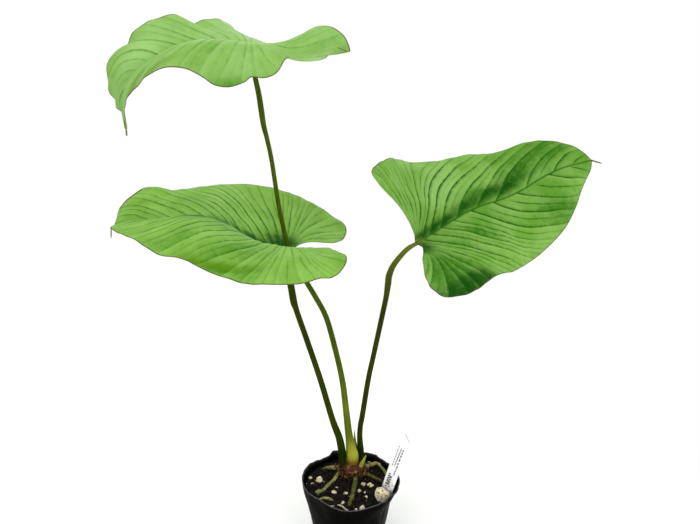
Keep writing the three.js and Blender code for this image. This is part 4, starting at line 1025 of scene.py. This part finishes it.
def turned(radius, z, angle):
    """A ring of points round the axis at a radius and a height, each one number or one for each angle."""
    return np.stack([radius * np.cos(angle), radius * np.sin(angle), z + 0 * angle], -1)


def mix_height(x, y):
    """Height of the mix: level at FILLED_TO, heaped round the crown and lower by the front of the wall."""
    out = np.clip((np.hypot(x, y) - FALL["from_axis"]) / FALL["over"], 0, 1)
    forward = np.clip((FALL["front"] - y) / FALL["depth"], 0, 1)
    heap = np.exp(-(((x - CROWN["x"]) ** 2 + (y - CROWN["y"]) ** 2) / HEAP["spread"]))
    return FILLED_TO + HEAP["height"] * heap - FALL["height"] * (out * forward)


def build_pot(pot):
    """The pot: one closed wall turned round the axis, from the floor's underside out and up to the cut rim,
    over it, down inside and across the floor, with drain holes cut through."""
    sides = 288
    angle = 2 * np.pi * np.arange(sides) / sides
    wall = pot.wall / MM
    top = rim_height(angle, pot) + 0.25 * rumple(np.stack([np.cos(angle), np.sin(angle)], -1) * 52, 9, 3, 2)
    rings, edge = [], []

    def ring(radius, z, lip=0.0):
        rings.append(turned(radius, z, angle))
        edge.append(np.full(sides, lip))

    def up_to_rim(share):
        return FILLED_TO + (top - FILLED_TO) * share

    for radius in (1e-4, 8, 18, 30, wall_radius(0, angle, pot) - 0.8):
        ring(radius, 0)
    ring(wall_radius(0.4, angle, pot), 0.5)
    for z in np.linspace(3, FILLED_TO, 20):
        ring(wall_radius(z, angle, pot), z)
    # the edge mark for the lip's painted highlight rises up the wall above the mix
    for share in (0.3, 0.55, 0.75, 0.9):
        z = up_to_rim(share)
        ring(wall_radius(z, angle, pot), z, share * 0.25)
    lip = wall_radius(top, angle, pot)
    # the lip's rings carry the painted highlight at full or near full strength
    for inset, down, worn in ((0, 0.35, 0.8), (0.35, 0, 1.0), (wall - 0.3, 0, 1.0), (wall, 0.35, 0.8)):
        ring(lip - inset, top - down, worn)
    for share in (0.85, 0.6, 0.3):
        z = up_to_rim(share)
        ring(wall_radius(z, angle, pot) - wall, z, share * 0.5)
    for z in (FILLED_TO, 76, 70, 60, 50, 40, 30, 15, FLOOR + 0.5):
        ring(wall_radius(z, angle, pot) - wall, z)
    for radius in (30, 18, 1e-4):
        ring(radius, FLOOR)
    plastic = pot_polypropylene("Black polypropylene, thermoformed", tuple(pot.colour))
    piece = shell("nursery_pot", np.concatenate(rings), sheet_faces(len(rings), sides, around=True), plastic,
                  {"edge": np.concatenate(edge)}, weld=0.01)
    for k in range(DRAINS["count"]):
        a = 2 * np.pi * (k + 0.5) / DRAINS["count"]
        out = DRAINS["from_axis"] * MM
        bpy.ops.mesh.primitive_cylinder_add(vertices=32, radius=DRAINS["radius"] * MM, depth=8 * MM,
                                            location=(out * np.cos(a), out * np.sin(a), 0))
        drill = bpy.context.object
        cut = piece.modifiers.new("drain", "BOOLEAN")
        cut.operation, cut.solver, cut.object = "DIFFERENCE", "EXACT", drill
        bpy.context.view_layer.objects.active = piece
        bpy.ops.object.modifier_apply(modifier=cut.name)
        bpy.data.objects.remove(drill)
    return dressed(piece, "pot_plastic", "pot")


def build_mix(pot):
    """The mix: a round sheet of crumbs, z = mix_height + seeded lumps, over a tapered plug that fills the
    pot."""
    rows, sides = 150, 300
    angle = 2 * np.pi * np.arange(sides) / sides
    wall = pot.wall / MM
    share = (np.arange(1, rows + 1) / rows) ** 0.8
    radius = share[:, None] * (wall_radius(MIX_RIM["height"], angle, pot) - wall - MIX_RIM["gap"])[None]
    x, y = radius * np.cos(angle), radius * np.sin(angle)
    place = np.stack([x, y], -1)
    crumbs = 0.55 * rumple(place, 11, 21, 2) + 0.5 * np.abs(rumple(place, 4.2, 22, 2))
    crumbs = crumbs + 0.28 * rumple(place, 1.7, 23, 2)
    z = mix_height(x, y) + crumbs - 0.3
    top = np.stack([x, y, z], -1)
    plug = [turned(wall_radius(z_in, angle, pot) - wall - 0.4, z_in, angle) for z_in in (2, 12, 30, 50, 70)]
    rings = [turned(0, 2, angle), *plug, *top[::-1], turned(0, float(z[0].mean()), angle)]
    piece = shell("potting_mix_surface", np.concatenate(rings), sheet_faces(len(rings), sides, around=True),
                  damp_peat("Damp peat mix, loose", "#060301", "#150c06"), weld=0.01)
    return dressed(piece, "bark_mix", "potting_mix")


def chips(name, count, size, squash, seed, material, pot, lift=0.1):
    """Loose bits on the mix: one ball of 20 faces copied, each stretched, dented and turned by a seeded
    draw, at a random place outside the crown."""
    rng = np.random.default_rng(seed)
    base, faces = ball(1)
    a = rng.uniform(0, 2 * np.pi, count)
    rim = wall_radius(MIX_RIM["height"], a, pot) - pot.wall / MM
    r = (rim - 0.6 * size[1]) * np.sqrt(rng.uniform(0, 1, count))
    x, y = r * np.cos(a), r * np.sin(a)
    clear = np.hypot((x - CROWN["x"]) / CROWN_CLEAR[0], (y - CROWN["y"]) / CROWN_CLEAR[1]) > 1
    x, y = x[clear], y[clear]
    count = len(x)
    scale = size[0] + (size[1] - size[0]) * rng.uniform(0, 1, count) ** 2.2
    shape = rng.uniform(squash[0], squash[1], (count, 1, 3)) * scale[:, None, None]
    dents = 1 + 0.22 * rng.normal(size=(count, len(base), 1)).clip(-1.6, 1.6)
    w, i, j, k = unit(rng.normal(size=(count, 4))).T
    turn = np.stack([
        np.stack([1 - 2 * (j * j + k * k), 2 * (i * j - k * w), 2 * (i * k + j * w)], -1),
        np.stack([2 * (i * j + k * w), 1 - 2 * (i * i + k * k), 2 * (j * k - i * w)], -1),
        np.stack([2 * (i * k - j * w), 2 * (j * k + i * w), 1 - 2 * (i * i + j * j)], -1)], 1)
    local = np.einsum("nab,nvb->nva", turn, base[None] * dents * shape)
    z = mix_height(x, y) + lift + scale * rng.uniform(0.0, 0.5, count)
    points = local + np.stack([x, y, z], -1)[:, None]
    all_faces = faces[None] + (np.arange(count) * len(base))[:, None, None]
    piece = shell(name, points, all_faces.reshape(-1, 3), material, {"low": np.zeros(count * len(base))},
                  smooth_faces=False)
    return dressed(piece, "bark_mix")


def buried(points, depth=1.6):
    """How far points are down in the mix: 0 well above it, 1 at its surface and below."""
    return np.clip((mix_height(points[:, 0], points[:, 1]) + 1.2 - points[:, 2]) / depth, 0, 1)


def pumice_grain(index, x, y, r, material):
    """One grain: a ball of radius r (1 + lumps - facets - pits), lowered to sit in its seat in the mix."""
    base, faces = ball(4)
    lump = (1 + 0.14 * np.sin(2.3 * base[:, 0] + index) + 0.12 * np.sin(3.1 * base[:, 1] - 2 * index)
            + 0.1 * np.sin(3.7 * base[:, 2] + 3 * index))
    facets = -0.1 * np.abs(rumple(base, 1.5, 40 + index, 1, 6))
    pits = -0.06 * smooth(rumple(base * r, 2.0, 60 + index, 2), 0.6, 1.4)
    pits = pits + 0.02 * rumple(base * r, 1.1, 80 + index, 2)
    size = r * (lump + facets + pits)
    centre = float(mix_height(np.array(x, float), np.array(y, float))) + r * 0.25
    points = base * size[:, None] * (1, 0.9, 0.78) + (x, y, centre)
    piece = shell(f"pumice_{index + 1:02d}", points, faces, material, {"low": buried(points)})
    return dressed(piece, "pumice", f"pumice_grain_{index + 1:02d}")


def pumice_block(material):
    """The broken block: in each direction d its surface is at the least c / (n . d) of the planes n . p = c
    of the hull round its corners, rounded by a soft minimum, less its pits. It is dark brown up its foot."""
    work = bmesh.new()
    for corner in BLOCK["corners"]:
        work.verts.new(corner)
    bmesh.ops.convex_hull(work, input=work.verts)
    work.normal_update()
    planes = np.array([[*f.normal, f.normal.dot(f.verts[0].co)] for f in work.faces])
    work.free()
    planes *= np.sign(planes[:, 3:])
    base, faces = ball(6)
    toward = base @ planes[:, :3].T
    reach = np.where(toward > 0.02, planes[None, :, 3] / np.maximum(toward, 0.02), 1e3)
    soft = 0.16
    size = -np.log(np.exp(-reach / soft).sum(1)) * soft
    points = base * size[:, None]
    pits = 0.5 * smooth(rumple(points, 3.2, 7, 2), 0.5, 1.5)
    pits = pits + 0.35 * smooth(rumple(points, 1.5, 8, 2), 0.6, 1.6)
    points = points - base * (pits - 0.12 * rumple(points, 0.9, 9, 2))[:, None] + BLOCK["centre"]
    caked = buried(points - (0, 0, 3.6), 4.5)
    piece = shell("pumice_large", points, faces, material, {"low": caked})
    return dressed(piece, "pumice", "pumice_block")


# The plant's foot


def build_crown(material):
    """The crown: stacked oval rings, CROWN wide by deep, with lumps and the scars of old leaves as shallow
    steps 3.6 mm apart."""
    sides, fine_from = 112, 90
    angle = 2 * np.pi * np.arange(sides) / sides
    levels, shares = np.transpose(CROWN_RINGS)
    z = np.concatenate([np.linspace(levels[0], fine_from, 34), np.linspace(fine_from, levels[-1], 42)[1:]])
    share = np.interp(z, levels, shares)
    wavy = z[:, None] + 1.6 * np.sin(2 * angle[None] + 1)
    scars = 0.035 * np.sin(wavy * 2 * np.pi / 3.6) * smooth(z, 80, 88)[:, None]
    radius = share[:, None] * (1 + 0.04 * np.sin(3 * angle[None] + 0.2 * z[:, None]) + scars)
    ring = np.stack([CROWN["x"] + CROWN["wide"] * radius * np.cos(angle),
                     CROWN["y"] + CROWN["deep"] * radius * np.sin(angle), z[:, None] + 0 * radius], -1)
    out = np.stack([np.cos(angle), np.sin(angle)], -1)
    ring[..., :2] += (0.3 * rumple(ring, 4.5, 14, 2))[..., None] * out * (share > 0.01)[:, None, None]
    grid = np.concatenate([ring[:1] * (0, 0, 1) + (CROWN["x"], CROWN["y"], 0), ring])
    piece = shell("crown", grid, sheet_faces(len(grid), sides, around=True), material,
                  {"low": 0.9 * smooth(93 - grid[..., 2], 0, 8)}, weld=0.01)
    return dressed(piece, "crown_tissue", "crown_and_roots")


def root_piece(name, points, radii, material, slot, nodes=()):
    """A root: a rod with a knobbly girth of 1 + noise, darker where it dips into the mix."""
    grid, faces, _ = rod(points, radii, 28, 16)
    centre = through(points, 16)
    rough = 0.12 * rumple(grid, 5, 31, 3) + 0.05 * rumple(grid, 1.6, 32, 2)
    nearest = np.argmin(((grid[:, None] - centre[None]) ** 2).sum(-1), 1)
    grid = grid + unit(grid - centre[nearest]) * rough[:, None] * (max(radii) / 2)
    piece = shell(name, grid, faces, material, {"low": buried(grid, 2.4)}, weld=0.003)
    return dressed(piece, slot, *nodes)


def stem_piece(name, points, radii, sides, per_span, material, slot, node, girth=None):
    """A stalk, a shoot or a sheath tip: a smooth rod that knows how far along it each point is."""
    grid, faces, along = rod(points, radii, sides, per_span, girth)
    piece = shell(name, grid, faces, material, {"along_mm": along}, weld=0.003)
    return dressed(piece, slot, node)


def torn_sheath(index, p, material):
    """A papery remnant: a curved patch off the crown, torn along its top, 0.5 mm thick and curling out."""
    columns, rows, tears, thickness = 70, 30, 15, 0.5
    rng = np.random.default_rng(300 + index)
    i = np.linspace(0, 1, columns)[None]
    j = np.linspace(0, 1, rows)[:, None]
    angle = np.radians(p["at"] + p["width"] * (i - 0.5))
    tear = np.interp(i[0], np.linspace(0, 1, tears), rng.uniform(0.45, 1.0, tears))[None]
    z = p["foot"] + p["height"] * j * tear
    off = 2.0 + p["lean"] * j**2 + 0.4 * np.sin(5 * angle + 4 * j) + 0.25 * np.sin(17 * angle + 3 * j)
    layers = []
    for extra in (0.0, thickness):
        x = CROWN["x"] + (CROWN["wide"] + off + extra) * np.cos(angle)
        y = CROWN["y"] + (CROWN["deep"] + off + extra) * np.sin(angle)
        layers.append(np.stack([x, y, z], -1))
    number = index + 1
    piece = shell(f"torn_sheath_{number}", np.stack(layers), slab_faces(rows, columns), material, weld=0.001)
    return dressed(piece, "dry_sheath", f"papery_sheath_{number}")


def build_label(material):
    """The label: a stake bowed by half a millimetre across, tapered at its foot, with its top right corner
    cut. Point (x, y, up) is leaned in its own plane, turned about the vertical and set on its foot."""
    length, width, plain_to = LABEL["length"], LABEL["width"], 94
    up = np.concatenate([np.linspace(0, plain_to, 200), np.linspace(plain_to, length, 40)[1:]])
    half = np.interp(up, [0, LABEL["taper"]], [1.5, width / 2])
    across, down = LABEL["corner"]
    right = half - across * np.clip((up - length + down) / down, 0, 1)
    v = np.linspace(0, 1, 61)[None]
    x = -half[:, None] + (half + right)[:, None] * v
    bow = 0.5 * (2 * v - 1) ** 2 - 0.25 + 0.5 * np.sin(up[:, None] / length * np.pi)
    z = np.repeat(up[:, None], v.size, 1)
    lean, turn = np.radians(LABEL["lean"]), np.radians(LABEL["turn"])
    gx, gz = x * np.cos(lean) + z * np.sin(lean), z * np.cos(lean) - x * np.sin(lean)
    layers = []
    for off in (-LABEL["thickness"] / 2, LABEL["thickness"] / 2):
        gy = bow + off
        back = gx * np.sin(turn) + gy * np.cos(turn)
        layers.append(np.stack([gx * np.cos(turn) - gy * np.sin(turn), back, gz], -1))
    ruled = np.zeros_like(z)
    for lower, upper, low, high, step, wide, share in DASHES:
        middle = np.interp(z, (low, high), (lower, upper))
        dash = smooth(np.sin(z * 2 * np.pi / step + 2 * np.sin(z / 5 + lower)), -0.75, -0.35)
        row = 1 - smooth(np.abs(x - middle), wide * 0.8, wide * 1.3)
        ruled += share * row * (z > low) * (z < high) * dash
    # distance from the cut corner's edge, for the painted grey shade along it
    from_cut = np.abs((width / 2 - x) * down / across + (length - z) - down)
    marks = {"ruled": np.stack([np.clip(ruled, 0, 1), 0 * ruled]), "up_mm": np.stack([z, z]),
             "cut_mm": np.stack([from_cut, from_cut])}
    piece = shell("plant_label_stake", np.stack(layers) + LABEL["foot"], slab_faces(*z.shape), material,
                  marks, weld=0.001)
    return dressed(piece, "label_plastic", "plant_label")


# What a user can change


class PotSettings(bpy.types.PropertyGroup):
    """Sizes and colour of the pot."""

    rim_radius: FloatProperty(
        name="Rim radius", description="Outer radius at the uncut rim", default=0.0525, unit="LENGTH")
    base_radius: FloatProperty(
        name="Base radius", description="Outer radius at the floor", default=0.035, unit="LENGTH")
    height: FloatProperty(
        name="Height", description="Height of the uncut rim", default=0.094, unit="LENGTH")
    wall: FloatProperty(
        name="Wall", description="Thickness of the wall", default=0.0011, unit="LENGTH")
    colour: FloatVectorProperty(
        name="Plastic", description="Colour of the pot's plastic", size=4, default=linear("#030302"),
        subtype="COLOR")


class BladeSettings(bpy.types.PropertyGroup):
    """Relief and greens of the blades."""

    quilting: FloatProperty(
        name="Quilting", description="Swell of the blade between veins", default=0.0006, unit="LENGTH")
    vein_depth: FloatProperty(
        name="Vein depth", description="Depth of the sunken veins", default=0.0003, unit="LENGTH")
    pucker: FloatProperty(
        name="Pucker", description="Uneven swell over the blade", default=0.0005, unit="LENGTH")
    left: FloatVectorProperty(
        name="Left blade", description="Main green of the left blade", size=4, default=linear("#78a844"),
        subtype="COLOR")
    upper: FloatVectorProperty(
        name="Upper blade", description="Main green of the upper blade", size=4, default=linear("#82ae56"),
        subtype="COLOR")
    right: FloatVectorProperty(
        name="Right blade", description="Main green of the right blade", size=4, default=linear("#6a9e38"),
        subtype="COLOR")


class MixSettings(bpy.types.PropertyGroup):
    """Loose bits on the mix."""

    bark_chips: IntProperty(
        name="Bark chips", description="Dark chips laid on the mix", default=900, min=0)
    crumbs: IntProperty(
        name="Crumbs", description="Brown crumbs laid on the mix", default=1100, min=0)
    white_crumbs: IntProperty(
        name="White crumbs", description="Small pale grains laid on the mix", default=70, min=0)


class StudioSettings(bpy.types.PropertyGroup):
    """Light round the plant."""

    key_power: FloatProperty(
        name="Key light", description="Power of the large light from front left", default=18.0, unit="POWER")
    fill_power: FloatProperty(
        name="Fill light", description="Power of the light from the right", default=8.0, unit="POWER")
    back_power: FloatProperty(
        name="Back light", description="Power of the light from behind", default=14.0, unit="POWER")
    room: FloatProperty(
        name="Room light", description="Strength of the light from all round", default=0.92, min=0.0)
    sky: FloatVectorProperty(
        name="Room colour", description="Colour of the light from all round", default=(1.0, 1.0, 1.0),
        subtype="COLOR")


class AnthuriumSettings(bpy.types.PropertyGroup):
    """All settings of the plant."""

    pot: PointerProperty(type=PotSettings)
    blade: PointerProperty(type=BladeSettings)
    mix: PointerProperty(type=MixSettings)
    studio: PointerProperty(type=StudioSettings)


# Operators


class ANTHURIUM_OT_pot(bpy.types.Operator):
    """Make the black nursery pot"""

    bl_idname = "anthurium.pot"
    bl_label = "Pot"

    def execute(self, context):
        build_pot(context.scene.anthurium.pot)
        return {"FINISHED"}


class ANTHURIUM_OT_mix(bpy.types.Operator):
    """Make the potting mix with its chips, crumbs and pumice"""

    bl_idname = "anthurium.mix"
    bl_label = "Potting mix"

    def execute(self, context):
        amounts = context.scene.anthurium.mix
        pot = context.scene.anthurium.pot
        build_mix(pot)
        bark = damp_peat("Composted bark, chipped", "#0a0502", "#20130a")
        crumb = damp_peat("Peat crumbs, loose", "#100a05", "#2f1f11")
        white = pumice("Perlite crumbs, expanded", "#bdb7a2", "#8f8770")
        chips("bark_chips", amounts.bark_chips, (0.9, 3.4), (0.35, 1.0), 101, bark, pot)
        chips("peat_crumbs", amounts.crumbs, (0.5, 1.5), (0.4, 1.0), 102, crumb, pot)
        chips("pale_crumbs", amounts.white_crumbs, (0.4, 1.0), (0.6, 1.0), 103, white, pot, lift=0.6)
        stone = pumice("Pumice, broken", "#ddd6b4", "#b0a67f")
        for index, (x, y, r) in enumerate(GRAINS):
            pumice_grain(index, x, y, r, stone)
        pumice_block(pumice("Pumice block, broken", "#e6dfbe", "#c4b990", 3.3))
        return {"FINISHED"}


class ANTHURIUM_OT_foot(bpy.types.Operator):
    """Make the crown, the roots, the shoot and the dry sheaths"""

    bl_idname = "anthurium.foot"
    bl_label = "Crown and roots"

    def execute(self, context):
        build_crown(root_skin("Living crown, grown", "#522a18", "#8f7048", "#240d08", 0.42))
        skins = {
            "olive": root_skin("Living root, grown", "#4a4f1a", "#6f6a38", "#2b2712", 0.35),
            "tan": root_skin("Drying root, grown", "#6d6c3a", "#958a5c", "#3d351e", 0.7),
            "fresh": root_skin("Living root tip, grown", "#747840", "#a3a466", "#45441f", 0.65),
            "pale": root_skin("Dead fine root, dried", "#cfc9b8", "#b8ac92", "#8a7c62", 0.6),
        }
        for key, (points, radii, skin) in ROOTS.items():
            root_piece(f"root_{key}", points, radii, skins[skin], "crown_tissue")
        for key, (points, radii, skin) in LOOSE_ROOTS.items():
            root_piece(key.replace("root_", "loose_root_"), points, radii, skins[skin],
                       "pale_root" if skin == "pale" else "root_tissue", (key,))
        paper = dry_sheath("Dead sheath, dried")
        for index, p in enumerate(PAPERS):
            torn_sheath(index, p, paper)
        green = stalk_skin("Living shoot, grown", "#8f9a3c", "#93a83a", "#9cae44", "#b4c060", "#9cae44")
        dry = stalk_skin("Drying sheath tip, grown", "#9a8a50", "#95a03e", "#8a953a", "#a9ac5c", "#8a953a",
                         roughness=0.55)
        stem_piece("shoot", *SHOOT, 36, 20, green, "shoot_tissue", "new_shoot")
        stem_piece("sheath_spike", *SHEATH_TIP, 36, 20, dry, "shoot_tissue", "sheath_tip")
        return {"FINISHED"}


class ANTHURIUM_OT_stalks(bpy.types.Operator):
    """Make the three leaf stalks with their swollen joints"""

    bl_idname = "anthurium.stalks"
    bl_label = "Leaf stalks"

    def execute(self, context):
        stained, foot = "#2c2a0a", "#142a01"
        left = stalk_skin("Living stalk, dark green", stained, foot, "#263100", "#384303", "#2a3802")
        middle = stalk_skin("Living stalk, olive", "#7c5220", "#a9ae38", "#566510", "#727f20", "#2f4602",
                            reach=(60.0, 150.0))
        right = stalk_skin("Living stalk, deep green", stained, foot, "#252e02", "#3c4406", "#6f7c2a",
                           reach=(205.0, 310.0))

        def girth(along, angle):
            return 1 + 0.03 * np.cos(2 * angle + 0.01 * along) + 0.015 * np.cos(9 * angle + 0.02 * along)

        # Beneath its blade a stalk runs on as the start of the rib: how far along, how far below, how thick
        past, below, rib_radii = np.array([1.0, 7.0, 18.0]), [1, 1.2, 0.9], (1.5, 0.7)
        for key, blade, slot, skin in (
                ("left", "left", "stalk_dark", left), ("middle", "upper", "stalk_olive", middle),
                ("right", "right", "stalk_dark", right)):
            points, radii = STALKS[key]
            onward = bent_sheet(BLADES[blade])(past, 0 * past)
            onward[:, 2] -= below
            stem_piece(f"leaf_stalk_{key}", [*points[:-1], *onward.tolist()],
                       [*radii[:-1], radii[-1] * 0.95, *rib_radii], 40, 16, skin, slot, f"stalk_{key}", girth)
        return {"FINISHED"}


class ANTHURIUM_OT_blades(bpy.types.Operator):
    """Make the three veined blades"""

    bl_idname = "anthurium.blades"
    bl_label = "Blades"

    def execute(self, context):
        looks = context.scene.anthurium.blade
        detail = {key: getattr(looks, key) / MM for key in ("quilting", "vein_depth", "pucker")}
        # Light, also the painted highlight on the swells, then deep, also painted shade, vein, underside and
        # painted sheen, and how bold the veins are. The main green is a setting.
        for key, slot, name, light, others, lines in (
                ("left", "leaf_mid", "Living blade, mid green", "#8cbb56",
                 ("#427e14", "#2a640c", "#86a838", "#92bf62"), 1.0),
                ("upper", "leaf_pale", "Living blade, young pale green", "#8fb968",
                 ("#528e26", "#467c20", "#8fae30", "#a6cc80"), 0.62),
                ("right", "leaf_deep", "Living blade, deep green", "#86b258",
                 ("#2f6a08", "#225a06", "#86a838", "#8fba6a"), 1.15)):
            skin = leaf_cuticle(name, light, tuple(getattr(looks, key)), *others, lines)
            leaf_blade(f"leaf_{key}", BLADES[key], skin, slot, detail)
        return {"FINISHED"}


class ANTHURIUM_OT_label(bpy.types.Operator):
    """Make the white plant label with its ruled dashes"""

    bl_idname = "anthurium.label"
    bl_label = "Plant label"

    def execute(self, context):
        build_label(label_styrene("White polystyrene sheet, cut"))
        return {"FINISHED"}


class ANTHURIUM_OT_studio(bpy.types.Operator):
    """Set up the pale floor, the soft lights and the camera"""

    bl_idname = "anthurium.studio"
    bl_label = "Studio"

    def execute(self, context):
        look = context.scene.anthurium.studio
        scene = context.scene
        sides = 128
        turn = 2 * np.pi * np.arange(sides) / sides
        disc = np.stack([turned(radius, FLOOR_TOP, turn) for radius in (1.0, 200.0, 460.0)])
        floor = shell("floor", disc, sheet_faces(len(disc), sides, around=True),
                      white_board("White board, matt"), weld=3.0)
        world = bpy.data.worlds.new("Room")
        world.use_nodes = True
        room = world.node_tree
        # The camera sees the room at full white, while the plant is lit by the setting's strength
        seen = add(room, "LightPath", out="Is Camera Ray")
        strength = add(room, "MapRange", {0: seen, 3: look.room, 4: 1.0})
        room.links.new(strength, room.nodes["Background"].inputs["Strength"])
        room.nodes["Background"].inputs["Color"].default_value = (*look.sky, 1.0)
        scene.world = world
        for name, place, aim, size, power in (
                ("Key", (-0.8, -1.1, 2.3), (0.0, 0.0, 0.2), 2.0, look.key_power),
                ("Fill", (1.5, -1.2, 1.0), (0.0, 0.0, 0.3), 1.2, look.fill_power),
                ("Back", (0.2, 2.2, 1.4), (0.0, 0.0, 0.35), 1.4, look.back_power)):
            data = bpy.data.lights.new(name, "AREA")
            data.shape, data.size, data.energy = "DISK", size, power
            light = bpy.data.objects.new(name, data)
            light.location = place
            x, y, z = np.array(place) - np.array(aim)
            light.rotation_euler = (np.arctan2(np.hypot(x, y), z), 0.0, np.arctan2(x, -y))
            scene.collection.objects.link(light)
        eye = bpy.data.cameras.new("Camera")
        eye.sensor_width = SENSOR_MM
        eye.lens = FOCAL_PX / WIDTH_PX * SENSOR_MM
        eye.clip_end = 50.0
        camera = bpy.data.objects.new("Camera", eye)
        camera.location = EYE
        camera.rotation_euler = (np.radians(90 - LOOK_DOWN), 0.0, 0.0)
        scene.collection.objects.link(camera)
        scene.camera = camera
        scene.view_settings.view_transform = "Standard"
        return {"FINISHED"}


class ANTHURIUM_PT_panel(bpy.types.Panel):
    """Lists the plant's pieces and settings"""

    bl_idname = "ANTHURIUM_PT_panel"
    bl_label = "Potted anthurium"
    bl_space_type = "VIEW_3D"
    bl_region_type = "UI"
    bl_category = "Anthurium"

    def draw(self, context):
        layout = self.layout
        for operator in STEPS:
            layout.operator(operator.bl_idname)
        for group in ("pot", "blade", "mix", "studio"):
            box = layout.box()
            values = getattr(context.scene.anthurium, group)
            for key in values.__annotations__:
                box.prop(values, key)


STEPS = (
    ANTHURIUM_OT_pot, ANTHURIUM_OT_mix, ANTHURIUM_OT_foot, ANTHURIUM_OT_stalks, ANTHURIUM_OT_blades,
    ANTHURIUM_OT_label, ANTHURIUM_OT_studio,
)
CLASSES = (
    PotSettings, BladeSettings, MixSettings, StudioSettings, AnthuriumSettings, *STEPS, ANTHURIUM_PT_panel,
)


def register():
    """Registers the classes and hangs the settings on the scene."""
    for cls in CLASSES:
        bpy.utils.register_class(cls)
    bpy.types.Scene.anthurium = PointerProperty(type=AnthuriumSettings)


def unregister():
    """Takes the settings and the classes away again."""
    del bpy.types.Scene.anthurium
    for cls in reversed(CLASSES):
        bpy.utils.unregister_class(cls)


def main():
    """Builds every piece in order."""
    register()
    for operator in STEPS:
        group, name = operator.bl_idname.split(".")
        getattr(getattr(bpy.ops, group), name)()
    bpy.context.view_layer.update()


if __name__ == "__main__":
    main()
